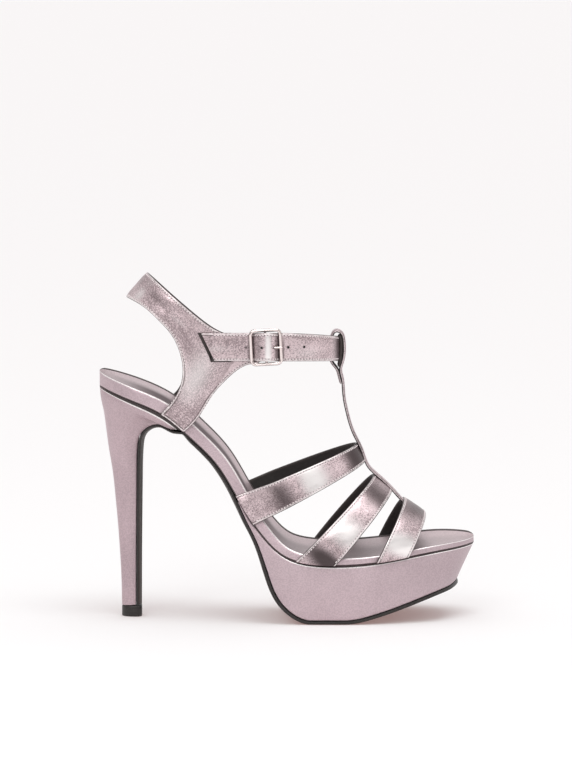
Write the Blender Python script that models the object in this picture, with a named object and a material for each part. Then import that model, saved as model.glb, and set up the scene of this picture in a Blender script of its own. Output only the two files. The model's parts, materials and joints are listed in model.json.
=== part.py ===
"""A right strappy heeled sandal: platform, high covered heel, three vamp straps, T-strap and ankle strap.

Metres, +Z up. The toe points to +X, the outer (lateral) side to -Y, and the sole stands on z = 0.
The footbed is one smooth curve seen from the side. Lengths along it are shares of its arc, from the
back of the heel (0) to the tip of the toe (1), and the sole, the insole and the straps' feet follow it.
"""

import math

import bmesh
import bpy
import numpy as np

# Driving sizes
SHOE_LENGTH = 0.209
BALL_WIDTH = 0.0785
HEEL_PITCH = 0.1005
PLATFORM_HEIGHT = 0.0310
OUTSOLE_THICK = 0.0022
FLAT_SNAP = 0.00012
WAIST_CROWN = 0.0018
BREAST_CROWN = 0.0018
FLAP_EDGE = 0.0012
WAIST_EDGE = 0.0016
INSOLE_THICK = 0.0072
RIM_RADIUS = 0.0017
DISH_DEPTH = 0.0015
INNER_LIFT = 0.0012
RIM_FADE = 0.012
CLEARANCE = 0.0003
TOE_SETBACK = 0.0104
TOP_PIECE_HEIGHT = 0.0060
TOP_PIECE_WIDTH = 0.0118
TOP_PIECE_EDGE = 0.0006
HEEL_SET_IN = 0.0124
INSTEP_HEIGHT = 0.0550
RING_LEAN = 0.0050
ANKLE_WIDTH = 0.0600
ANKLE_FRONT = 0.0289
COLLAR_HEIGHT = 0.0545
STRAP_THICK = 0.0018
T_STRAP_THICK = 0.0015
T_STRAP_WIDTH = 0.0110
ANKLE_STRAP_THICK = 0.0016
ANKLE_STRAP_WIDTH = 0.0157
TAB_THICK = 0.0010
TAB_SLOT = 0.0060
BAR_DIAMETER = 0.0018
CENTRE_BAR_DIAMETER = 0.0014
PRONG_DIAMETER = 0.0011
BUCKLE_LENGTH = 0.0182
BUCKLE_HEIGHT = 0.0205
BUCKLE_CORNER = 0.0024
BUCKLE_CENTRE = -0.0111

# Rise of the footbed: (share of the length, share of the heel pitch)
FOOTBED = (
    (0.000, 1.000),
    (0.100, 0.924),
    (0.200, 0.823),
    (0.265, 0.705),
    (0.338, 0.548),
    (0.393, 0.362),
    (0.463, 0.138),
    (0.510, 0.047),
    (0.570, 0.010),
    (0.700, 0.000),
    (0.790, 0.019),
    (0.886, 0.048),
    (1.006, 0.066),
)

# Plan of the footbed: (share of the arc, middle line, half width), both as shares of the ball width
PLAN = (
    (0.000, 0.005, 0.360),
    (0.113, -0.006, 0.365),
    (0.250, -0.032, 0.333),
    (0.387, -0.052, 0.312),
    (0.533, -0.062, 0.385),
    (0.630, -0.055, 0.455),
    (0.750, -0.012, 0.500),
    (0.873, 0.040, 0.440),
    (1.000, 0.075, 0.385),
)
HEEL_ROUND = 0.113
SEAT_MIDDLE = 0.181
TOE_ROUND = 0.127

# Thickness of the insole: (share of the arc, share of the insole's thickness)
INSOLE_DEPTH = (
    (0.00, 1.06),
    (0.25, 0.98),
    (0.50, 0.86),
    (0.62, 0.72),
    (0.72, 0.58),
    (0.85, 0.52),
    (1.00, 0.43),
)

# Sole line under the footbed: (share of the arc, share of the platform's height, share of the toe set-back)
SOLE_LINE = (
    (0.235, 0.000, 0.00),
    (0.400, 0.000, 0.00),
    (0.430, 0.012, 0.00),
    (0.480, 0.060, 0.00),
    (0.533, 0.145, 0.00),
    (0.560, 0.262, 0.00),
    (0.585, 0.490, 0.00),
    (0.605, 0.795, 0.00),
    (0.625, 0.950, 0.00),
    (0.645, 1.012, 0.00),
    (0.705, 1.014, 0.00),
    (0.735, 0.978, 0.00),
    (0.765, 0.925, 0.00),
    (0.835, 0.805, 0.00),
    (0.890, 0.728, 0.05),
    (0.945, 0.675, 0.30),
    (1.000, 0.640, 1.00),
)
WAIST_START = 0.235
WEDGE_END = 0.226
WEDGE_TIP = 0.012
PLATFORM_START = 0.440
PLATFORM_TAPER = 0.075

# Breast of the heel, from the wedge under the seat down to the floor: (share of the length, share of
# the seat's height)
BREAST = (
    (0.2024, 0.8130),
    (0.1680, 0.8350),
    (0.1340, 0.8250),
    (0.1120, 0.7900),
    (0.1035, 0.7300),
    (0.1010, 0.6170),
    (0.0985, 0.3120),
    (0.0975, 0.0520),
)

# Back of the heel: (share of the seat's height, share of the set-in from the seat's edge)
HEEL_BACK = (
    (0.000, 0.985),
    (0.163, 0.955),
    (0.343, 0.850),
    (0.496, 0.715),
    (0.625, 0.575),
    (0.727, 0.400),
    (0.830, 0.260),
    (0.881, 0.185),
    (0.940, 0.055),
    (1.000, 0.000),
)

# Slices of the heel from its foot to the seat: (share up the heel, half width as a share of the seat's
# half width, share of the depth that is round)
HEEL_SLICES = (
    (0.000, 0.200, 0.75),
    (0.160, 0.209, 0.75),
    (0.320, 0.226, 0.75),
    (0.480, 0.262, 0.74),
    (0.600, 0.320, 0.72),
    (0.680, 0.395, 0.70),
    (0.730, 0.470, 0.67),
    (0.770, 0.540, 0.65),
    (0.800, 0.595, 0.63),
    (0.825, 0.645, 0.62),
    (0.850, 0.695, 0.61),
    (0.875, 0.750, 0.59),
    (0.900, 0.805, 0.58),
    (0.925, 0.860, 0.57),
    (0.950, 0.915, 0.55),
    (0.975, 0.965, 0.54),
    (1.000, 1.000, 0.53),
)

# Feet of the vamp straps, as shares of the arc: (outer rear, outer front, inner rear, inner front)
VAMP_FEET = (
    (0.4260, 0.4980, 0.4260, 0.4980),
    (0.6060, 0.6890, 0.6300, 0.7080),
    (0.7760, 0.8480, 0.7780, 0.8500),
)

# Tops of the vamp straps' edges: (share of the length, share of the pitch, share of the instep's height)
VAMP_TOPS = (
    ((0.6870, 0.250, 0.630), (0.7110, 0.200, 0.532)),
    ((0.7335, 0.130, 0.522), (0.7840, 0.100, 0.415)),
    ((0.8150, 0.060, 0.404), (0.8750, 0.040, 0.282)),
)
VAMP_ROUND = 2.15
RIM_REACH = 0.30

# T-strap from its end under the front strap up to the loop: (share of the length, share of the pitch,
# share of the instep's height)
T_STRAP = (
    (0.8560, 0.040, 0.322),
    (0.8130, 0.060, 0.392),
    (0.7960, 0.080, 0.425),
    (0.7720, 0.105, 0.476),
    (0.7400, 0.130, 0.540),
    (0.7205, 0.170, 0.545),
    (0.7040, 0.210, 0.628),
    (0.6810, 0.270, 0.702),
    (0.6630, 0.340, 0.792),
    (0.6545, 0.410, 0.838),
)

# Loop round the ankle strap: (share of the loop's depth from the strap, share of the strap's width
# from the strap's middle)
LOOP_FRONT = ((0.66, -1.02), (0.44, -0.76), (0.78, -0.42), (1.00, -0.02), (0.92, 0.32), (0.45, 0.59))
LOOP_BACK = ((0.45, 0.59), (-0.28, 0.64), (-0.96, 0.32), (-1.08, -0.12), (-0.85, -0.48), (-0.10, -0.72))
LOOP_TAIL = ((0.28, -1.00), (0.58, -1.24))
LOOP_DEPTH = 0.0037

# Edges of the heel band: (share of the length, share of the collar's height), lifted by the heel pitch
BAND_TOP = (
    (0.132, 1.008),
    (0.190, 0.800),
    (0.250, 0.600),
    (0.295, 0.466),
    (0.338, 0.382),
    (0.372, 0.360),
    (0.420, 0.358),
)
BAND_BACK = (
    (0.0745, 0.757),
    (0.1200, 0.660),
    (0.1660, 0.503),
    (0.1970, 0.366),
    (0.2160, 0.218),
    (0.2250, 0.088),
)
LEG_BACK = ((0.224, -0.066), (0.215, -0.170), (0.190, -0.315))
LEG_FEET = (0.164, 0.236)
LEG_FRONT = (
    (0.262, -0.460),
    (0.297, -0.255),
    (0.341, -0.070),
    (0.374, 0.032),
    (0.401, 0.078),
    (0.420, 0.088),
)
BAND_ROUND = 0.027
BAND_SPLITS = (0.86, 0.92)

# Ankle strap: tail end, front of the straight run and lap on the inner side, as shares of the length
TAIL_END = 0.275
TAIL_SLANT = 0.0076
STRAP_FRONT = 0.492
LAP_END = 0.375
STRAP_LEVEL = 0.2440
STRAP_TAPER = 0.0016
TAB_SHARE = 0.90

MATERIALS = {
    "foil_leather": ((0.62, 0.50, 0.51), 0.30, 0.85),
    "satin_cover": ((0.42, 0.31, 0.33), 0.42, 0.55),
    "sole_rubber": ((0.020, 0.017, 0.016), 0.45, 0.0),
    "buckle_metal": ((0.72, 0.60, 0.57), 0.18, 1.0),
}


class Table:
    """Columns read along their first column by cubics that never overshoot their rows."""

    def __init__(self, rows):
        rows = np.array(rows, float)
        self.keys = rows[:, 0]
        self.values = rows[:, 1:]
        steps = np.diff(self.keys)[:, None]
        slopes = np.diff(self.values, axis=0) / steps
        tangents = np.vstack([slopes[:1], (slopes[:-1] + slopes[1:]) / 2, slopes[-1:]])
        tangents[1:-1][slopes[:-1] * slopes[1:] <= 0] = 0
        for i in range(len(slopes)):
            limit = 3 * np.abs(slopes[i])
            tangents[i] = np.clip(tangents[i], -limit, limit)
            tangents[i + 1] = np.clip(tangents[i + 1], -limit, limit)
        self.tangents = tangents

    def at(self, key):
        key = min(max(key, self.keys[0]), self.keys[-1])
        i = min(max(int(np.searchsorted(self.keys, key)) - 1, 0), len(self.keys) - 2)
        step = self.keys[i + 1] - self.keys[i]
        t = (key - self.keys[i]) / step
        found = (
            (2 * t**3 - 3 * t**2 + 1) * self.values[i]
            + (t**3 - 2 * t**2 + t) * step * self.tangents[i]
            + (3 * t**2 - 2 * t**3) * self.values[i + 1]
            + (t**3 - t**2) * step * self.tangents[i + 1]
        )
        return found if len(found) > 1 else found[0]


class Path:
    """A smooth curve through points, read by its share of the arc."""

    SAMPLES = 1200

    def __init__(self, points):
        points = np.array(points, float)
        steps = np.linalg.norm(np.diff(points, axis=0), axis=1)
        knots = np.concatenate([[0], np.cumsum(steps)])
        count = len(knots)
        matrix = np.zeros((count, count))
        right = np.zeros_like(points)
        matrix[0, 0] = 1
        matrix[-1, -1] = 1
        for i in range(1, count - 1):
            matrix[i, i - 1] = steps[i - 1]
            matrix[i, i] = 2 * (steps[i - 1] + steps[i])
            matrix[i, i + 1] = steps[i]
            before = (points[i] - points[i - 1]) / steps[i - 1]
            after = (points[i + 1] - points[i]) / steps[i]
            right[i] = 6 * (after - before)
        bends = np.linalg.solve(matrix, right)
        places = np.linspace(0, knots[-1], self.SAMPLES)
        index = np.clip(np.searchsorted(knots, places) - 1, 0, count - 2)
        step = steps[index][:, None]
        near = (places - knots[index])[:, None] / step
        far = 1 - near
        self.points = (
            far * points[index]
            + near * points[index + 1]
            + ((far**3 - far) * bends[index] + (near**3 - near) * bends[index + 1]) * step**2 / 6
        )
        run = np.linalg.norm(np.diff(self.points, axis=0), axis=1)
        self.length = run.sum()
        self.shares = np.concatenate([[0], np.cumsum(run)]) / self.length
        self.slopes = np.gradient(self.points, self.shares, axis=0)

    def at(self, share):
        return np.array([np.interp(share, self.shares, column) for column in self.points.T])

    def along(self, share):
        slope = np.array([np.interp(share, self.shares, column) for column in self.slopes.T])
        return slope / np.linalg.norm(slope)

    def share_at_x(self, x):
        return float(np.interp(x, self.points[:, 0], self.shares))


def left_of(direction):
    return np.array([-direction[1], direction[0]])


def right_of(direction):
    return np.array([direction[1], -direction[0]])


def length_x(share):
    return (share - 0.5) * SHOE_LENGTH


def spaced(start, end, count):
    return [start + (end - start) * i / count for i in range(count + 1)]


def rounded(start, end, count, first=0.07):
    """Shares that crowd towards the round end at start; first is the smallest part of a quarter turn."""
    turns = [math.pi / 2 * (first + (1 - first) * i / count) for i in range(count + 1)]
    return [start + (end - start) * (1 - math.cos(turn)) for turn in turns]


INSOLE_DEPTHS = Table(INSOLE_DEPTH)
PLANS = Table(PLAN)
SOLE_LINES = Table(SOLE_LINE)
BALL_TOP = OUTSOLE_THICK + 2 * CLEARANCE + PLATFORM_HEIGHT + INSOLE_THICK * INSOLE_DEPTHS.at(0.70)
FOOT = Path([(length_x(share), BALL_TOP + rise * HEEL_PITCH) for share, rise in FOOTBED])
SEAT_HEIGHT = BALL_TOP + HEEL_PITCH - INSOLE_THICK
RING_Y = PLANS.at(0.25)[0] * BALL_WIDTH


def foot(share):
    """Point, direction and upward normal of the footbed, in the plane y = 0."""
    direction = FOOT.along(share)
    return FOOT.at(share), direction, left_of(direction)


def insole_depth(share):
    return INSOLE_THICK * INSOLE_DEPTHS.at(share)


def end_round(share):
    if share < HEEL_ROUND:
        return math.sqrt(1 - (1 - max(share, 0) / HEEL_ROUND) ** 2)
    if share > 1 - TOE_ROUND:
        return math.sqrt(1 - (1 - (1 - min(share, 1)) / TOE_ROUND) ** 2)
    return 1.0


def plan(share):
    """Middle line and half width of the footbed."""
    middle, half = PLANS.at(share) * BALL_WIDTH
    return middle, half * end_round(share)


def edge_y(share, side, out=0.0):
    middle, half = plan(share)
    return middle + side * (half + out)


def sole_point(share):
    """Upper face of the outsole under the footbed."""
    point, direction, normal = foot(share)
    drop, setback = SOLE_LINES.at(share)
    depth = insole_depth(share) + CLEARANCE + drop * (PLATFORM_HEIGHT + CLEARANCE)
    place = point - normal * depth - direction * setback * TOE_SETBACK
    place[1] = max(place[1], OUTSOLE_THICK)
    return place


def sole_path():
    shares = rounded(1.0, 0.94, 3, 0.0) + spaced(0.92, WAIST_START, 30)
    places = [sole_point(share) for share in shares]
    places += [np.array([length_x(share), rise * SEAT_HEIGHT]) for share, rise in BREAST]
    return Path(places)


SOLE = sole_path()


def sole_share_near(place):
    return float(SOLE.shares[np.argmin(np.linalg.norm(SOLE.points - place, axis=1))])


WAIST_END = sole_share_near(sole_point(WAIST_START))
HEEL_BACKS = Table(HEEL_BACK)
HEEL_WIDTHS = Table(HEEL_SLICES)
HEEL_MIDDLE = PLANS.at(HEEL_ROUND)[0] * BALL_WIDTH


def sole_stations():
    """Shares of the footbed, from the toe to the start of the platform, that the sole's pieces share."""
    return rounded(1, 1 - TOE_ROUND, 8) + spaced(1 - TOE_ROUND, PLATFORM_START, 26)[1:]


def waist_stations():
    """The same from the start of the platform back to the heel's wedge."""
    return spaced(PLATFORM_START, WAIST_START, 10)[1:]


def seat_stations():
    """The same from the back of the heel to the end of its wedge."""
    return rounded(0, HEEL_ROUND, 7) + spaced(HEEL_ROUND, WEDGE_END, 4)[1:]


def material(name):
    colour, roughness, metallic = MATERIALS[name]
    made = bpy.data.materials.get(name) or bpy.data.materials.new(name)
    made.use_nodes = True
    shader = made.node_tree.nodes["Principled BSDF"]
    shader.inputs["Base Color"].default_value = (*colour, 1)
    shader.inputs["Roughness"].default_value = roughness
    shader.inputs["Metallic"].default_value = metallic
    return made


def add(name, points, faces, finish, sharp=35):
    mesh = bpy.data.meshes.new(name)
    mesh.from_pydata([tuple(point) for point in points], [], faces)
    shaped = bmesh.new()
    shaped.from_mesh(mesh)
    bmesh.ops.recalc_face_normals(shaped, faces=shaped.faces)
    if shaped.calc_volume(signed=True) < 0:
        bmesh.ops.reverse_faces(shaped, faces=shaped.faces)
    shaped.to_mesh(mesh)
    shaped.free()
    mesh.shade_smooth()
    mesh.set_sharp_from_angle(angle=math.radians(sharp))
    mesh.materials.append(material(finish))
    made = bpy.data.objects.new(name, mesh)
    bpy.context.collection.objects.link(made)
    return made


def ladder(first, count):
    """Faces that close a ring whose point i faces its point count - 1 - i."""
    faces = []
    for i in range(count // 2):
        near, far = i + 1, count - 2 - i
        if near < far:
            faces.append([first + i, first + near, first + far, first + count - 1 - i])
        elif near == far:
            faces.append([first + i, first + near, first + count - 1 - i])
    return faces


def loft(name, rings, finish, sharp=35):
    """A closed solid through rings of equally many points; both ends are closed by a ladder of faces."""
    count = len(rings[0])
    points = [point for ring in rings for point in ring]
    faces = []
    for r in range(len(rings) - 1):
        for i in range(count):
            j = (i + 1) % count
            faces.append([r * count + i, r * count + j, (r + 1) * count + j, (r + 1) * count + i])
    faces += ladder(0, count) + ladder((len(rings) - 1) * count, count)
    return add(name, points, faces, finish, sharp)


def slab(name, middle, thick, finish):
    """A sheet of leather: a grid of middle points given its thickness along the grid's own normals."""
    middle = np.array(middle, float)
    rows, columns = middle.shape[:2]
    down = np.gradient(middle, axis=0)
    across = np.gradient(middle, axis=1)
    normal = np.cross(down, across)
    normal /= np.linalg.norm(normal, axis=2)[:, :, None]
    half = np.asarray(thick, float) / 2
    half = half[:, None, None] if half.ndim else half
    outer, inner = middle + normal * half, middle - normal * half
    points = np.concatenate([outer.reshape(-1, 3), inner.reshape(-1, 3)])
    size = rows * columns

    def index(row, column, layer):
        return layer * size + row * columns + column

    faces = []
    for r in range(rows - 1):
        for c in range(columns - 1):
            corners = ((r, c), (r + 1, c), (r + 1, c + 1), (r, c + 1))
            faces.append([index(*corner, 0) for corner in corners])
            faces.append([index(*corner, 1) for corner in corners[::-1]])
        for c in (0, columns - 1):
            faces.append([index(r, c, 0), index(r + 1, c, 0), index(r + 1, c, 1), index(r, c, 1)])
    for c in range(columns - 1):
        for r in (0, rows - 1):
            faces.append([index(r, c, 0), index(r, c + 1, 0), index(r, c + 1, 1), index(r, c, 1)])
    return add(name, points, faces, finish)


def tube(name, route, diameter, finish, sides=8, closed=False, plane=(0, 1, 0)):
    """A round wire along a route that lies in one plane."""
    route = np.array(route, float)
    ahead = np.roll(route, -1, axis=0) - np.roll(route, 1, axis=0)
    if not closed:
        ahead[0] = route[1] - route[0]
        ahead[-1] = route[-1] - route[-2]
    ahead /= np.linalg.norm(ahead, axis=1)[:, None]
    plane = np.array(plane, float)
    rings = []
    for point, direction in zip(route, ahead):
        side = np.cross(direction, plane)
        rings.append(
            [
                point + diameter / 2 * (math.cos(turn) * plane + math.sin(turn) * side)
                for turn in spaced(0, 2 * math.pi, sides)[:-1]
            ]
        )
    if not closed:
        return loft(name, rings, finish)
    points = [point for ring in rings for point in ring]
    faces = []
    for r in range(len(rings)):
        s = (r + 1) % len(rings)
        for i in range(sides):
            j = (i + 1) % sides
            faces.append([r * sides + i, r * sides + j, s * sides + j, s * sides + i])
    return add(name, points, faces, finish)


def boolean(target, other, operation):
    other.hide_render = True
    other.display_type = "WIRE"
    change = target.modifiers.new(other.name, "BOOLEAN")
    change.operation = operation
    change.object = other
    change.solver = "EXACT"


def in_plane(place, y):
    return np.array([place[0], y, place[1]])


def upright(share):
    """How much the back of the seat leans towards upright, as a slope along the footbed."""
    direction = FOOT.along(0.0)
    return -direction[1] / direction[0] * max(1 - share / HEEL_ROUND, 0)


def foot_point(share, y, height):
    point, direction, normal = foot(share)
    return in_plane(point + normal * height - direction * height * upright(share), y)


def make_insole():
    shares = seat_stations() + waist_stations()[::-1] + sole_stations()[::-1]
    rings = []
    for share in shares:
        middle, half = plan(share)
        depth = insole_depth(share)
        fit = min(1.0, half / RIM_FADE)
        rim = min(RIM_RADIUS, depth / 3) * fit
        lift = INNER_LIFT * fit
        edge = [(0.4 * rim, -depth), (0, -depth + 0.4 * rim), (0, -rim), (0.3 * rim, -0.3 * rim), (rim, 0)]
        edge += [(2.1 * rim, -0.35 * DISH_DEPTH * fit)]
        left = [(middle - half + inset, height) for inset, height in edge]
        right = []
        for inset, height in edge[::-1]:
            right.append((middle + half - inset, height + (lift if height > -depth / 2 else 0)))
        dish = [
            (middle + across * half, -DISH_DEPTH * fit + lift * max(across, 0) * 0.7)
            for across in (-0.5, 0.0, 0.5)
        ]
        rings.append([foot_point(share, y, height) for y, height in left + dish + right])
    return loft("insole", rings, "satin_cover", 50)


def make_platform():
    rings = []
    for share in sole_stations()[::-1]:
        point, _, normal = foot(share)
        top = point - normal * (insole_depth(share) + CLEARANCE)
        sole_share = sole_share_near(sole_point(share))
        base = SOLE.at(sole_share) + right_of(SOLE.along(sole_share)) * CLEARANCE
        base[1] = max(base[1], OUTSOLE_THICK + CLEARANCE)
        drop = SOLE_LINES.at(share)[0]
        middle, half = plan(share)
        side = []
        for level in (0.0, 0.35, 0.7, 1.0):
            place = base + (top - base) * level
            inset = PLATFORM_TAPER * drop * (1 - level) ** 1.3
            side.append((place, half * (1 - inset)))
        left = [in_plane(place, middle - wide) for place, wide in side]
        right = [in_plane(place, middle + wide) for place, wide in side[::-1]]
        rings.append(left + right)
    return loft("platform", rings, "satin_cover", 50)


def heel_half(up):
    """Half width of the heel and the round share of its depth, at this share of its height."""
    wide, round_share = HEEL_WIDTHS.at(up)
    return wide * plan(SEAT_MIDDLE)[1], round_share


def heel_share(up):
    """The place on the sole line of the heel's front, at this share of its height."""
    return 1 + (WAIST_END + WEDGE_TIP - 1) * up


def heel_front(up):
    share = heel_share(up)
    return SOLE.at(share), SOLE.along(share)


def heel_back(up):
    height = TOP_PIECE_HEIGHT + CLEARANCE + up * (SEAT_HEIGHT - TOP_PIECE_HEIGHT - CLEARANCE)
    inset = HEEL_BACKS.at(height / SEAT_HEIGHT) * HEEL_SET_IN
    return np.array([length_x(0) + inset, height])


def make_heel():
    rounds = [math.pi / 2 * (0.10 + 0.90 * i / 7) for i in range(8)]
    straights = (0.25, 0.5, 0.75, 1.0)
    rings = []
    for up, _, _ in HEEL_SLICES[:-1]:
        half, round_share = heel_half(up)
        front, direction = heel_front(up)
        front = front + right_of(direction) * CLEARANCE
        front[1] = max(front[1], TOP_PIECE_HEIGHT + CLEARANCE)
        back = heel_back(up)
        side = [(round_share * (1 - math.cos(turn)), math.sin(turn)) for turn in rounds]
        side += [(round_share + (1 - round_share) * step, 1 - 0.10 * step) for step in straights]
        left = [in_plane(back + (front - back) * a, HEEL_MIDDLE - half * b) for a, b in side]
        right = [in_plane(back + (front - back) * a, HEEL_MIDDLE + half * b) for a, b in side[::-1]]
        rings.append(left + right)
    left, right = [], []
    for share in seat_stations():
        height = -insole_depth(share) - CLEARANCE
        left.append(foot_point(share, edge_y(share, -1, -CLEARANCE), height))
        right.append(foot_point(share, edge_y(share, 1, -CLEARANCE), height))
    rings.append(left + right[::-1])
    return loft("heel", rings, "satin_cover", 60)


def make_outsole():
    under_foot = sole_stations() + waist_stations()
    shares = [sole_share_near(sole_point(share)) for share in under_foot]
    shares += [heel_share(row[0]) for row in HEEL_SLICES[::-1]]
    rings = []
    below = Table([(sole_share_near(sole_point(s)), s) for s in spaced(1.0, WAIST_START, 60)])
    for share in shares:
        point = SOLE.at(share)
        normal = right_of(SOLE.along(share))
        middle, half, edge, crown = outsole_section(share, below)
        if abs(point[1] - OUTSOLE_THICK) < FLAT_SNAP:
            point[1] = OUTSOLE_THICK
            normal = np.array([0.0, 1.0])
        upper = [in_plane(point, middle - half), in_plane(point, middle + half)]
        lower = []
        for across in (1.0, 0.72, 0.4, 0.0, -0.4, -0.72, -1.0):
            depth = edge + crown * (1 - across**2)
            place = point - normal * depth
            place[1] = max(place[1], 0.0)
            lower.append(in_plane(place, middle + half * across))
        rings.append([upper[0], *lower[::-1], upper[1]])
    return loft("outsole", rings, "sole_rubber", 50)


def outsole_section(share, below):
    if share <= WAIST_END:
        foot_share = below.at(share)
        drop = SOLE_LINES.at(foot_share)[0]
        middle, half = plan(foot_share)
        waist = 1 - min(drop / 0.35, 1)
        half *= 1 - PLATFORM_TAPER * drop - 0.05 * waist
        into = min(max((foot_share - WAIST_START) / 0.05, 0), 1)
        edge = OUTSOLE_THICK + (WAIST_EDGE - OUTSOLE_THICK) * waist
        edge = FLAP_EDGE + (edge - FLAP_EDGE) * into
        crown = BREAST_CROWN + (WAIST_CROWN - BREAST_CROWN) * into
        return middle, half, edge, crown * waist
    up = (1 - share) / (1 - WAIST_END)
    wide, _ = heel_half(min(up, 1))
    blend = min(max((up - 0.93) / 0.07, 0), 1)
    waist_half = plan(WAIST_START)[1] * 0.95
    half = wide * 0.90 * (1 - blend) + waist_half * blend
    middle = HEEL_MIDDLE * (1 - blend) + plan(WAIST_START)[0] * blend
    return middle, half, FLAP_EDGE, BREAST_CROWN


def make_top_piece():
    half, round_share = heel_half(0)
    front, _ = heel_front(0)
    back = heel_back(0)
    deep = front[0] + FLAP_EDGE + BREAST_CROWN - back[0]
    rounds = [math.pi / 2 * (0.10 + 0.90 * i / 7) for i in range(8)]
    rings = []
    for height, inset in ((0.0, TOP_PIECE_EDGE), (TOP_PIECE_EDGE, 0.0), (TOP_PIECE_HEIGHT, 0.0)):
        side = [(0.62 * (1 - math.cos(turn)), math.sin(turn)) for turn in rounds]
        side += [(0.85, 0.96), (1.0, 0.70)]
        left, right = [], []
        for a, b in side:
            x = back[0] + inset + (deep - 2 * inset) * a
            wide = (TOP_PIECE_WIDTH / 2 - inset) * b
            left.append((x, HEEL_MIDDLE - wide, height))
            right.append((x, HEEL_MIDDLE + wide, height))
        rings.append(left + right[::-1])
    return loft("top_piece", rings, "sole_rubber", 50)


def upper_point(row):
    """A row of the straps' tables as a place seen from the side."""
    share, lift, rise = row
    return np.array([length_x(share), BALL_TOP + lift * HEEL_PITCH + rise * INSTEP_HEIGHT])


def vamp_edge(outer_foot, inner_foot, top_row, count):
    """One edge of a vamp strap: it stands straight along the insole's side, then arches over the instep."""
    top = upper_point(top_row)
    out = CLEARANCE + STRAP_THICK / 2
    places = []
    for side, foot_share in ((-1, outer_foot), (1, inner_foot)):
        base = leg_foot(foot_share)
        band = 1.1 * insole_depth(foot_share) / np.dot(top - base, foot(foot_share)[2])
        arm = [(0.0, 1.0), (band / 2, 1.0)]
        for turn in spaced(0, math.pi / 2, count):
            risen = math.sin(turn) ** (2 / VAMP_ROUND)
            arm.append((band + (1 - band) * risen, math.cos(turn) ** (2 / VAMP_ROUND)))
        points = []
        for risen, wide in arm:
            beside = base + (top - base) * min(risen, RIM_REACH)
            edges = [edge_y(share, side, out) for share in (foot_share, FOOT.share_at_x(beside[0]))]
            edge = max(edges) if side > 0 else min(edges)
            points.append(in_plane(base + (top - base) * risen, RING_Y + (edge - RING_Y) * wide))
        places += points if side < 0 else points[::-1][1:]
    return places


def vamp_strap(number):
    outer_rear, outer_front, inner_rear, inner_front = VAMP_FEET[number]
    rear_top, front_top = VAMP_TOPS[number]
    columns = []
    for across in (0, 0.25, 0.5, 0.75, 1):
        outer = outer_rear + (outer_front - outer_rear) * across
        inner = inner_rear + (inner_front - inner_rear) * across
        top = [a + (b - a) * across for a, b in zip(rear_top, front_top)]
        columns.append(vamp_edge(outer, inner, top, 11))
    grid = np.stack(columns, axis=1)
    name = "upper" if number == 0 else f"vamp_{number + 1}"
    return slab(name, grid, STRAP_THICK, "foil_leather")


def lean(y):
    """The ring round the ankle stands a little higher on the outer side."""
    return -RING_LEAN * (y - RING_Y) / ANKLE_WIDTH


def ankle_level(x):
    """Height of the ankle strap's middle line."""
    level = BALL_TOP + HEEL_PITCH + STRAP_LEVEL * COLLAR_HEIGHT
    drop = min(max((x - length_x(STRAP_FRONT)) / (ANKLE_FRONT - length_x(STRAP_FRONT)), 0), 1)
    return level - STRAP_TAPER / 2 * drop**1.5


def ankle_half(x):
    """Half width of the ankle strap, which narrows a little towards the front."""
    drop = min(max((x - length_x(STRAP_FRONT)) / (ANKLE_FRONT - length_x(STRAP_FRONT)), 0), 1)
    return (ANKLE_STRAP_WIDTH - STRAP_TAPER * drop**1.5) / 2


def loop_point(row):
    deep, high = row
    return np.array([ANKLE_FRONT + deep * LOOP_DEPTH, ankle_level(ANKLE_FRONT) + high * ANKLE_STRAP_WIDTH])


def ribbon(name, route, wide, thick, finish, count):
    path = Path(route)
    rows = []
    for share in spaced(0, 1, count):
        place = path.at(share)
        rows.append([in_plane(place, RING_Y + wide * across) for across in (-0.5, 0, 0.5)])
    return slab(name, rows, thick, finish)


def make_upper():
    upper = vamp_strap(0)
    outer = [upper_point(row) for row in T_STRAP] + [loop_point(row) for row in LOOP_FRONT]
    inner = [loop_point(row) for row in LOOP_BACK + LOOP_TAIL]
    pieces = [vamp_strap(1), vamp_strap(2)]
    pieces.append(ribbon("t_strap", outer, T_STRAP_WIDTH, T_STRAP_THICK, "foil_leather", 54))
    pieces.append(ribbon("t_loop", inner, T_STRAP_WIDTH * 0.98, T_STRAP_THICK, "foil_leather", 26))
    for piece in (pieces[2], pieces[0], pieces[1], pieces[3]):
        boolean(upper, piece, "UNION")
    return upper


def band_point(row):
    share, rise = row
    return np.array([length_x(share), BALL_TOP + HEEL_PITCH + rise * COLLAR_HEIGHT])


def leg_foot(share):
    point, _, normal = foot(share)
    return point - normal * insole_depth(share)


def band_rails(count):
    """Upper and lower edge of a side piece, from the back of the heel to the end of its branch."""
    upper = Path([band_point(row) for row in BAND_TOP])
    rear = Path([band_point(row) for row in BAND_BACK + LEG_BACK] + [leg_foot(LEG_FEET[0])])
    feet = [leg_foot(share) for share in spaced(*LEG_FEET, 4)]
    front = Path([leg_foot(LEG_FEET[1])] + [band_point(row) for row in LEG_FRONT])
    back_shares = rounded(0, 1, count[0], 0.0)
    top, low = [], []
    for share in back_shares:
        top.append(upper.at(BAND_SPLITS[0] * share))
        low.append(rear.at(share))
    for i in range(1, 5):
        top.append(upper.at(BAND_SPLITS[0] + (BAND_SPLITS[1] - BAND_SPLITS[0]) * i / 4))
        low.append(feet[i])
    for i in range(1, count[1] + 1):
        top.append(upper.at(BAND_SPLITS[1] + (1 - BAND_SPLITS[1]) * i / count[1]))
        low.append(front.at(i / count[1]))
    return top, low


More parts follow.
